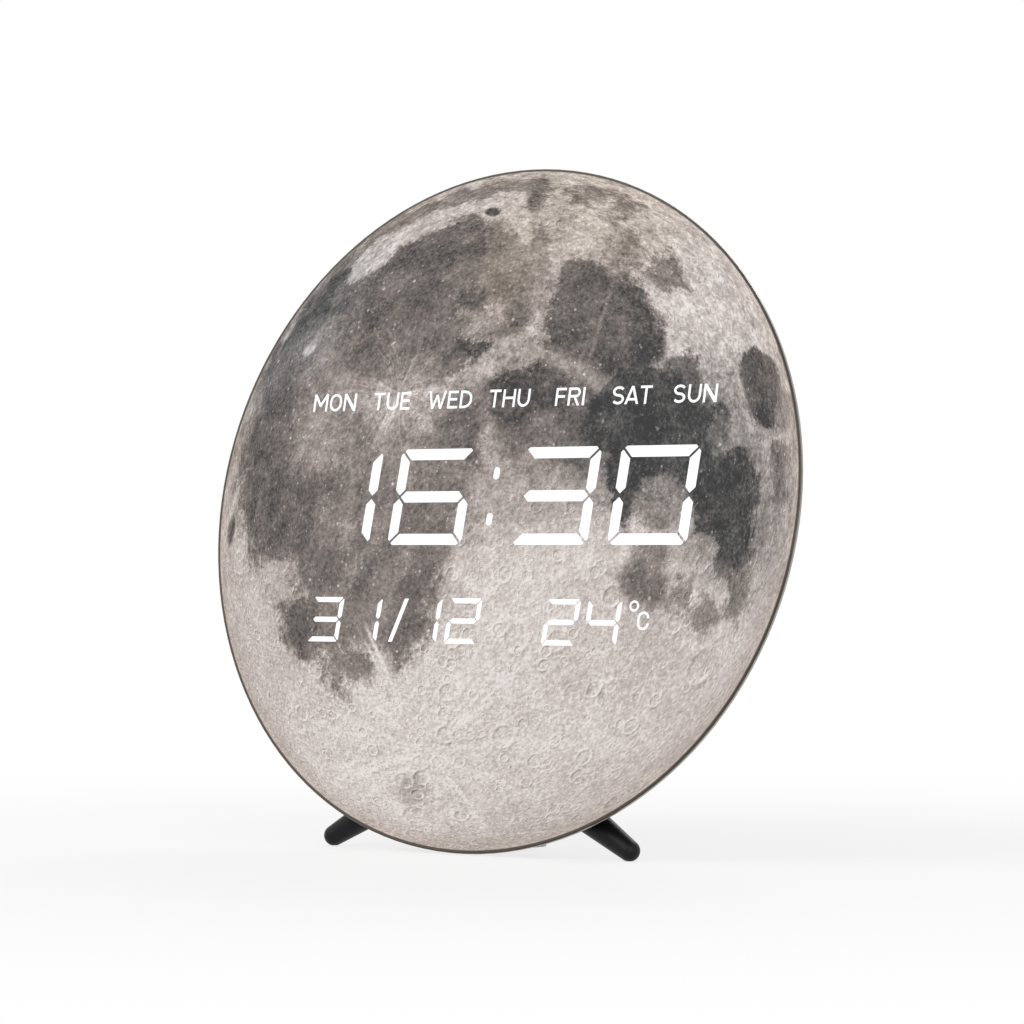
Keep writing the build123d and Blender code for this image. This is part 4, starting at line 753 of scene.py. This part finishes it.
# Face plate.
# A thin hard board, cut round and bevelled, with a dark skin on both sides and a paler core.
# The film is stuck to its front and the housing is taped to its back.
CORE_FRONT = 0.0008
CORE_BACK = 0.0017
SKIN_BLEND = 0.0001
edge_material, tree, surface = finish("dark_board_edge", IOR=1.49, Coat_Weight=0.25, Coat_Roughness=0.12)
place = object_place(tree, face_middle, face_turn)
drift = cloudy(tree, place, 24.0, 4.0)
saw = cloudy(tree, shift(tree, "MULTIPLY", place, (60, 60, 2600)), 1.0, 3.0, 0.5)
depth = calc(tree, "MULTIPLY", add(tree, "ShaderNodeSeparateXYZ", {"Vector": place}).outputs["Z"], -1.0)
core = calc(tree, "MULTIPLY", ease(tree, depth, CORE_FRONT - SKIN_BLEND, CORE_FRONT + SKIN_BLEND),
            ease(tree, depth, CORE_BACK, CORE_BACK - SKIN_BLEND))
skin_colour = ramp(tree, drift, ((0.3, ink(48, 42, 36)), (0.7, ink(66, 59, 50))))
core_colour = ramp(tree, drift, ((0.3, ink(168, 158, 146)), (0.7, ink(188, 179, 168))))
feed(tree, surface, Base_Color=blend(tree, core, skin_colour, core_colour),
     Roughness=ease(tree, saw, 0.3, 0.7, 0.22, 0.38), Normal=bumped(tree, saw, 0.08, 0.0002))
paint(edge_material, "face_plate")

# Foam tape, opal film and light cells.
# Black closed-cell tape, a milky spreading film and a white moulded block with a cell for each stroke.
# They lie in layers between the plate and the circuit board.
foam_material, tree, surface = finish("black_foam", Roughness=0.95, Specular_IOR_Level=0.1)
place = object_place(tree)
pores = add(tree, "ShaderNodeTexVoronoi", {"Vector": place, "Scale": 2600.0}).outputs["Distance"]
feed(tree, surface, Base_Color=ramp(tree, pores, ((0.1, ink(18, 18, 18)), (0.7, ink(46, 46, 46)))),
     Normal=bumped(tree, pores, 0.5, 0.0003))
paint(foam_material, "tape_ring")

# Fine moulded grain: a value for colour and roughness, and a height for the bump
grain_group, given, result = effect(
    "moulded_grain", {"Place": "Vector", "Grain Size": "Float", "Wear Size": "Float"},
    {"Grain": "Float", "Wear": "Float"},
)
fine_scale = calc(grain_group, "DIVIDE", 1.0, given["Grain Size"])
fine = cloudy(grain_group, given["Place"], fine_scale, 3.0, 0.6)
pit_scale = calc(grain_group, "DIVIDE", 1.4, given["Grain Size"])
pits = add(grain_group, "ShaderNodeTexVoronoi", {"Vector": given["Place"], "Scale": pit_scale})
height = calc(grain_group, "MULTIPLY", fine, 0.6)
height = calc(grain_group, "MULTIPLY_ADD", pits.outputs["Distance"], 0.5, height)
grain_group.links.new(height, result["Grain"])
wear_scale = calc(grain_group, "DIVIDE", 1.0, given["Wear Size"])
handled = cloudy(grain_group, given["Place"], wear_scale, 5.0, 0.62)
grain_group.links.new(handled, result["Wear"])


def moulded(name, dark, pale, roughness, grain_size, wear_size, depth, **constants):
    """A moulded plastic or rubber with fine grain, a slow change of shade and an uneven sheen."""
    material, tree, surface = finish(name, **constants)
    inputs = {"Place": object_place(tree), "Grain Size": grain_size, "Wear Size": wear_size}
    grain = place_effect(tree, grain_group, inputs)
    shade = calc(tree, "MULTIPLY_ADD", grain["Grain"], 0.35, calc(tree, "MULTIPLY", grain["Wear"], 0.65))
    feed(tree, surface, Base_Color=ramp(tree, shade, ((0.3, dark), (0.68, pale))),
         Roughness=ease(tree, shade, 0.3, 0.7, *roughness),
         Normal=bumped(tree, grain["Grain"], depth, grain_size * 0.35))
    return material


paint(moulded("opal_film", ink(226, 227, 224), ink(240, 240, 236), (0.40, 0.55), 0.0004, 0.02, 0.05),
      "diffuser_film")
paint(moulded("white_cell_block", ink(222, 221, 215), ink(238, 238, 233), (0.45, 0.60), 0.0005, 0.02, 0.15),
      "reflector")

# Circuit board and the parts on it.
# Green lacquered glass-fibre board with small white LEDs in front, and chips, switches, a can
# capacitor, a sounder, a sensor, the cell cup and the power inlet soldered to its back.
board_material, tree, surface = finish("green_board", Roughness=0.35)
place = object_place(tree, face_middle, face_turn)
tracks = add(tree, "ShaderNodeTexBrick", {
    "Vector": shift(tree, "MULTIPLY", place, (220, 220, 220)), "Scale": 1.0, "Mortar Size": 0.06,
    "Color1": ink(18, 78, 44), "Color2": ink(16, 70, 40), "Mortar": ink(34, 104, 60)})
lacquer = cloudy(tree, place, 45.0, 3.0)
feed(tree, surface, Base_Color=tracks.outputs["Color"], Roughness=ease(tree, lacquer, 0.3, 0.7, 0.28, 0.42))
paint(board_material, "led_board")
paint(moulded("led_resin", ink(232, 214, 150), ink(246, 236, 190), (0.15, 0.30), 0.0004, 0.003, 0.05),
      "leds")
paint(moulded("chip_epoxy", ink(22, 22, 23), ink(34, 34, 35), (0.55, 0.70), 0.0003, 0.004, 0.20),
      "controller_chip", "driver_chips", "buzzer", "temperature_sensor")
paint(moulded("black_socket", ink(24, 24, 25), ink(38, 38, 39), (0.45, 0.60), 0.0004, 0.006, 0.15),
      "tact_switches", "cell_holder")


def drawn_metal(name, dark, pale, roughness, stretch):
    """A bare or plated metal with fine lines from drawing or turning."""
    material, tree, surface = finish(name, Metallic=1.0)
    lines = cloudy(tree, shift(tree, "MULTIPLY", object_place(tree), stretch), 1.0, 4.0, 0.6)
    feed(tree, surface, Base_Color=ramp(tree, lines, ((0.3, dark), (0.7, pale))),
         Roughness=ease(tree, lines, 0.3, 0.7, *roughness), Normal=bumped(tree, lines, 0.10, 0.0001))
    return material


paint(drawn_metal("aluminium_can", ink(186, 187, 190), ink(214, 215, 217), (0.25, 0.40), (300, 2400, 300)),
      "capacitor")
paint(drawn_metal("plated_shell", ink(170, 171, 172), ink(206, 206, 205), (0.22, 0.36), (400, 2000, 400)),
      "power_jack", "coin_cell")

# Housing and rear cover.
# Black moulded plastic with a fine spark texture: a round wall taped to the plate, closed by a flat back.
# The back is held by six screws in counterbores.
paint(moulded("spark_textured_black", ink(34, 34, 36), ink(50, 50, 52), (0.48, 0.66), 0.0007, 0.05, 0.35,
              Specular_IOR_Level=0.4), "housing", "rear_cover")

# Screws and hinge pin.
# Black zinc plated cross-head screws, and a bright drawn steel pin.
# The screws hold the rear cover, the board and the prop's brackets, and the prop swings on the pin.
paint(drawn_metal("black_zinc", ink(58, 59, 62), ink(92, 93, 96), (0.32, 0.46), (900, 900, 900)),
      "cover_screws", "board_screws", "bracket_screws")
paint(drawn_metal("bright_pin", ink(176, 177, 179), ink(208, 209, 210), (0.18, 0.30), (2600, 260, 260)),
      "prop_pin")

# Battery cap.
# Satin black plastic, turned with a coin, with two lugs that hook under the cover.
paint(moulded("satin_cap", ink(38, 38, 40), ink(56, 56, 58), (0.36, 0.50), 0.0005, 0.02, 0.18),
      "battery_cap")

# Keys.
# Four small dished keys in a slightly paler satin plastic, above the middle of the back.
# They slide in holes of the rear cover and press the switches on the board.
paint(moulded("satin_key", ink(58, 58, 61), ink(78, 78, 81), (0.34, 0.48), 0.0004, 0.006, 0.12),
      "button_set", "button_up", "button_down", "button_alarm")

# Marks on the back.
# Pale grey pad-printed ink on the rear cover: a word or a sign over each key, the sign for direct
# current over the inlet, and dots beside the battery cap that grow the way it turns to open.
MARK_SIZE = 0.48
MARK_RISE = 0.0086
SIGN_SPAN = 0.0032
SIGN_STROKE = 0.00062
SUPPLY_SPAN = 0.0064
SUPPLY_RISE = 0.0062
INK_DEPTH = 0.00003
back_depth = max(face_out.dot(face_middle - point.co) for point in nodes["rear_cover"].data.vertices)


def on_back(x, y, lift):
    """A point of the rear cover, x to the right as seen from behind, y up the cover and lift out of it."""
    return face_middle - Vector((x, 0, 0)) + face_up * y - face_out * (back_depth + lift)


def seen_behind(name):
    """Where the middle of a piece is on the rear cover, as seen from behind."""
    low, high = (Vector(corner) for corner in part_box(name))
    middle = (low + high) / 2 - face_middle
    return -middle.x, middle.dot(face_up)


def bar_about(x, y, wide, high):
    """An upright rectangle about its middle."""
    return bar(x - wide / 2, y - high / 2, x + wide / 2, y + high / 2)


mark_material = moulded(
    "pad_print_ink", ink(178, 178, 175), ink(200, 200, 197), (0.48, 0.60), 0.0003, 0.004, 0.05)
marks = []
for key, word in (("set", "SET"), ("alarm", "ALARM")):
    key_x, key_y = seen_behind("button_" + key)
    marks += written(word, key_x, key_y + MARK_RISE, size=MARK_SIZE)
for key in ("up", "down"):
    key_x, key_y = seen_behind("button_" + key)
    marks.append(bar_about(key_x, key_y + MARK_RISE, SIGN_SPAN, SIGN_STROKE))
    if key == "up":
        arm = (SIGN_SPAN - SIGN_STROKE) / 2
        for side in (-1, 1):
            arm_y = key_y + MARK_RISE + side * (SIGN_STROKE + arm) / 2
            marks.append(bar_about(key_x, arm_y, SIGN_STROKE, arm))
inlet_x, inlet_y = seen_behind("power_jack")
marks.append(bar_about(inlet_x, inlet_y + SUPPLY_RISE + SIGN_STROKE * 1.5, SUPPLY_SPAN, SIGN_STROKE))
for step in (-1, 0, 1):
    dash_x = inlet_x + step * SUPPLY_SPAN * 0.375
    marks.append(bar_about(dash_x, inlet_y + SUPPLY_RISE - SIGN_STROKE * 1.5, SUPPLY_SPAN / 4, SIGN_STROKE))
printed = plates("key_marks", marks, 0.0, INK_DEPTH, on_back)
printed.data.materials.append(mark_material)
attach(printed, "clock")

# Dots along an arc, from a small one to a large one
dots, given, result = effect(
    "turn_dots",
    {"Count": "Int", "Arc Radius": "Float", "Start": "Float", "Sweep": "Float", "Smallest": "Float",
     "Largest": "Float", "Ink Depth": "Float", "Ink": "Material"},
    {"Geometry": "Geometry"}, "GeometryNodeTree",
)
row = add(dots, "GeometryNodeMeshLine", {"Count": given["Count"]}).outputs["Mesh"]
index = dots.nodes.new("GeometryNodeInputIndex").outputs["Index"]
along = calc(dots, "DIVIDE", index, calc(dots, "SUBTRACT", given["Count"], 1.0))
bearing = calc(dots, "MULTIPLY_ADD", along, given["Sweep"], given["Start"])
spot_x = calc(dots, "MULTIPLY", calc(dots, "COSINE", bearing), given["Arc Radius"])
spot_y = calc(dots, "MULTIPLY", calc(dots, "SINE", bearing), given["Arc Radius"])
spot = vector(dots, spot_x, spot_y)
arc_row = add(dots, "GeometryNodeSetPosition", {"Geometry": row, "Position": spot}).outputs["Geometry"]
growth = near_to(dots, given["Smallest"], given["Largest"], along)
dot_scale = vector(dots, growth, growth, 1.0)
dot_inputs = {"Vertices": 24, "Radius": 1.0, "Depth": given["Ink Depth"]}
dot = add(dots, "GeometryNodeMeshCylinder", dot_inputs).outputs["Mesh"]
copies = add(dots, "GeometryNodeInstanceOnPoints", {"Points": arc_row, "Instance": dot, "Scale": dot_scale})
whole = add(dots, "GeometryNodeRealizeInstances", {"Geometry": copies.outputs["Instances"]}).outputs[0]
inked = add(dots, "GeometryNodeSetMaterial", {"Geometry": whole, "Material": given["Ink"]}).outputs[0]
dots.links.new(inked, result["Geometry"])

opening = -1 if joint_axis("battery_cap_turn").dot(face_out) > 0 else 1
dot_sizes = {
    "Count": 7, "Arc Radius": 0.0178, "Start": radians(-30 * opening), "Sweep": radians(60 * opening),
    "Smallest": 0.0003, "Largest": 0.0008, "Ink Depth": INK_DEPTH, "Ink": mark_material}
turn_dots = bpy.data.objects.new("cap_turn_dots", bpy.data.meshes.new("cap_turn_dots"))
bpy.context.collection.objects.link(turn_dots)
pattern = turn_dots.modifiers.new("dots", "NODES")
pattern.node_group = dots
for socket in dots.interface.items_tree:
    if socket.in_out == "INPUT":
        pattern[socket.identifier] = dot_sizes[socket.name]
dot_mesh = bpy.data.meshes.new_from_object(turn_dots.evaluated_get(bpy.context.evaluated_depsgraph_get()))
turn_dots.modifiers.remove(pattern)
turn_dots.data = dot_mesh
behind = Matrix(((-1, 0, 0), face_up, -face_out)).transposed().to_4x4()
dot_mesh.transform(Matrix.Translation(on_back(*seen_behind("battery_cap"), INK_DEPTH / 2)) @ behind)
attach(turn_dots, "clock")

# Pegs.
# Turned satin black pegs with ball ends, pushed into sockets of the housing.
paint(moulded("satin_black_peg", ink(9, 9, 10), ink(17, 17, 19), (0.36, 0.48), 0.0005, 0.012, 0.10,
              Specular_IOR_Level=0.22), "leg_left", "leg_right")

# Rear prop, its brackets and its foot.
# A grooved black strut that swings on the pin between two angle brackets, with a milky silicone foot.
paint(moulded("satin_black_prop", ink(26, 26, 28), ink(42, 42, 44), (0.40, 0.54), 0.0006, 0.02, 0.20),
      "prop", "prop_brackets")
paint(moulded("milky_silicone", ink(232, 232, 229), ink(246, 246, 244), (0.55, 0.70), 0.0004, 0.006, 0.15,
              Specular_IOR_Level=0.3, Subsurface_Weight=0.4, Subsurface_Scale=0.004), "prop_foot")

# Studio.
# A pale floor under white surroundings, three broad soft lamps, and a camera where the photograph was taken.
FLOOR_REACH = 14.0
SHADE_SPAN = (0.10, 0.55)
SHADE_LIFT = 0.78
SKY_LIGHT = 0.38


def seen_plainly(tree):
    """One for what the camera sees, also in a shiny or clear surface, and nothing for light on the clock."""
    ray = tree.nodes.new("ShaderNodeLightPath").outputs
    mirrored = calc(tree, "MAXIMUM", ray["Is Glossy Ray"], ray["Is Transmission Ray"])
    return calc(tree, "MAXIMUM", ray["Is Camera Ray"], mirrored)


floor_mesh = bpy.data.meshes.new("floor")
corners = [(x, y, 0) for x, y in bar(-FLOOR_REACH, -FLOOR_REACH, FLOOR_REACH, FLOOR_REACH)]
floor_mesh.from_pydata(corners, [], [(0, 1, 2, 3)])
floor = bpy.data.objects.new("floor", floor_mesh)
bpy.context.collection.objects.link(floor)
floor_material, tree, surface = finish("pale_floor", Base_Color=(0.86, 0.86, 0.86, 1), Roughness=0.9,
                                       Specular_IOR_Level=0.0)
white = add(tree, "ShaderNodeEmission", {"Color": (1, 1, 1, 1), "Strength": 1.0}).outputs["Emission"]
from_clock = shift(tree, "LENGTH", tree.nodes.new("ShaderNodeTexCoord").outputs["Object"])
lift = calc(tree, "MULTIPLY", seen_plainly(tree), ease(tree, from_clock, *SHADE_SPAN, SHADE_LIFT, 1.0))
lit_floor = add(tree, "ShaderNodeMixShader", {"Fac": lift, 1: surface.outputs["BSDF"], 2: white})
tree.links.new(lit_floor.outputs["Shader"], tree.nodes["Material Output"].inputs["Surface"])
floor_mesh.materials.append(floor_material)

world = bpy.data.worlds.new("white_studio")
bpy.context.scene.world = world
world.use_nodes = True
tree = world.node_tree
backdrop = tree.nodes["Background"]
backdrop.inputs["Color"].default_value = (1, 1, 1, 1)
strength = calc(tree, "MULTIPLY_ADD", seen_plainly(tree), 1.0 - SKY_LIGHT, SKY_LIGHT)
tree.links.new(strength, backdrop.inputs["Strength"])


def lamp(name, place, size, power):
    """A square soft lamp that points at the middle of the clock."""
    data = bpy.data.lights.new(name, "AREA")
    data.size = size
    data.energy = power
    made = bpy.data.objects.new(name, data)
    made.location = place
    made.rotation_euler = (Vector(place) - face_middle).to_track_quat("Z", "Y").to_euler()
    bpy.context.collection.objects.link(made)


lamp("key_lamp", (-0.9, -1.5, 1.5), 1.2, 18)
lamp("fill_lamp", (1.6, -1.3, 0.9), 1.4, 10)
lamp("back_lamp", (-0.4, 1.6, 1.5), 1.2, 16)

CAMERA_TURN = radians(33.94)
CAMERA_RISE = radians(-0.60)
CAMERA_AWAY = 1.3711
LENS_LENGTH = 134.26
LENS_SHIFT = (0.01685, -0.00549)
level = cos(CAMERA_RISE)
toward = Vector((sin(CAMERA_TURN) * level, -cos(CAMERA_TURN) * level, sin(CAMERA_RISE)))
sideways = Vector((cos(CAMERA_TURN), sin(CAMERA_TURN), 0))
upward = toward.cross(sideways)
lens = bpy.data.cameras.new("camera")
lens.sensor_width = 36
lens.lens = LENS_LENGTH
lens.shift_x, lens.shift_y = LENS_SHIFT
camera = bpy.data.objects.new("camera", lens)
turn = Matrix((sideways, upward, toward)).transposed().to_4x4()
camera.matrix_world = Matrix.Translation(face_middle + toward * CAMERA_AWAY) @ turn
bpy.context.collection.objects.link(camera)
bpy.context.scene.camera = camera
bpy.context.scene.view_settings.view_transform = "Standard"
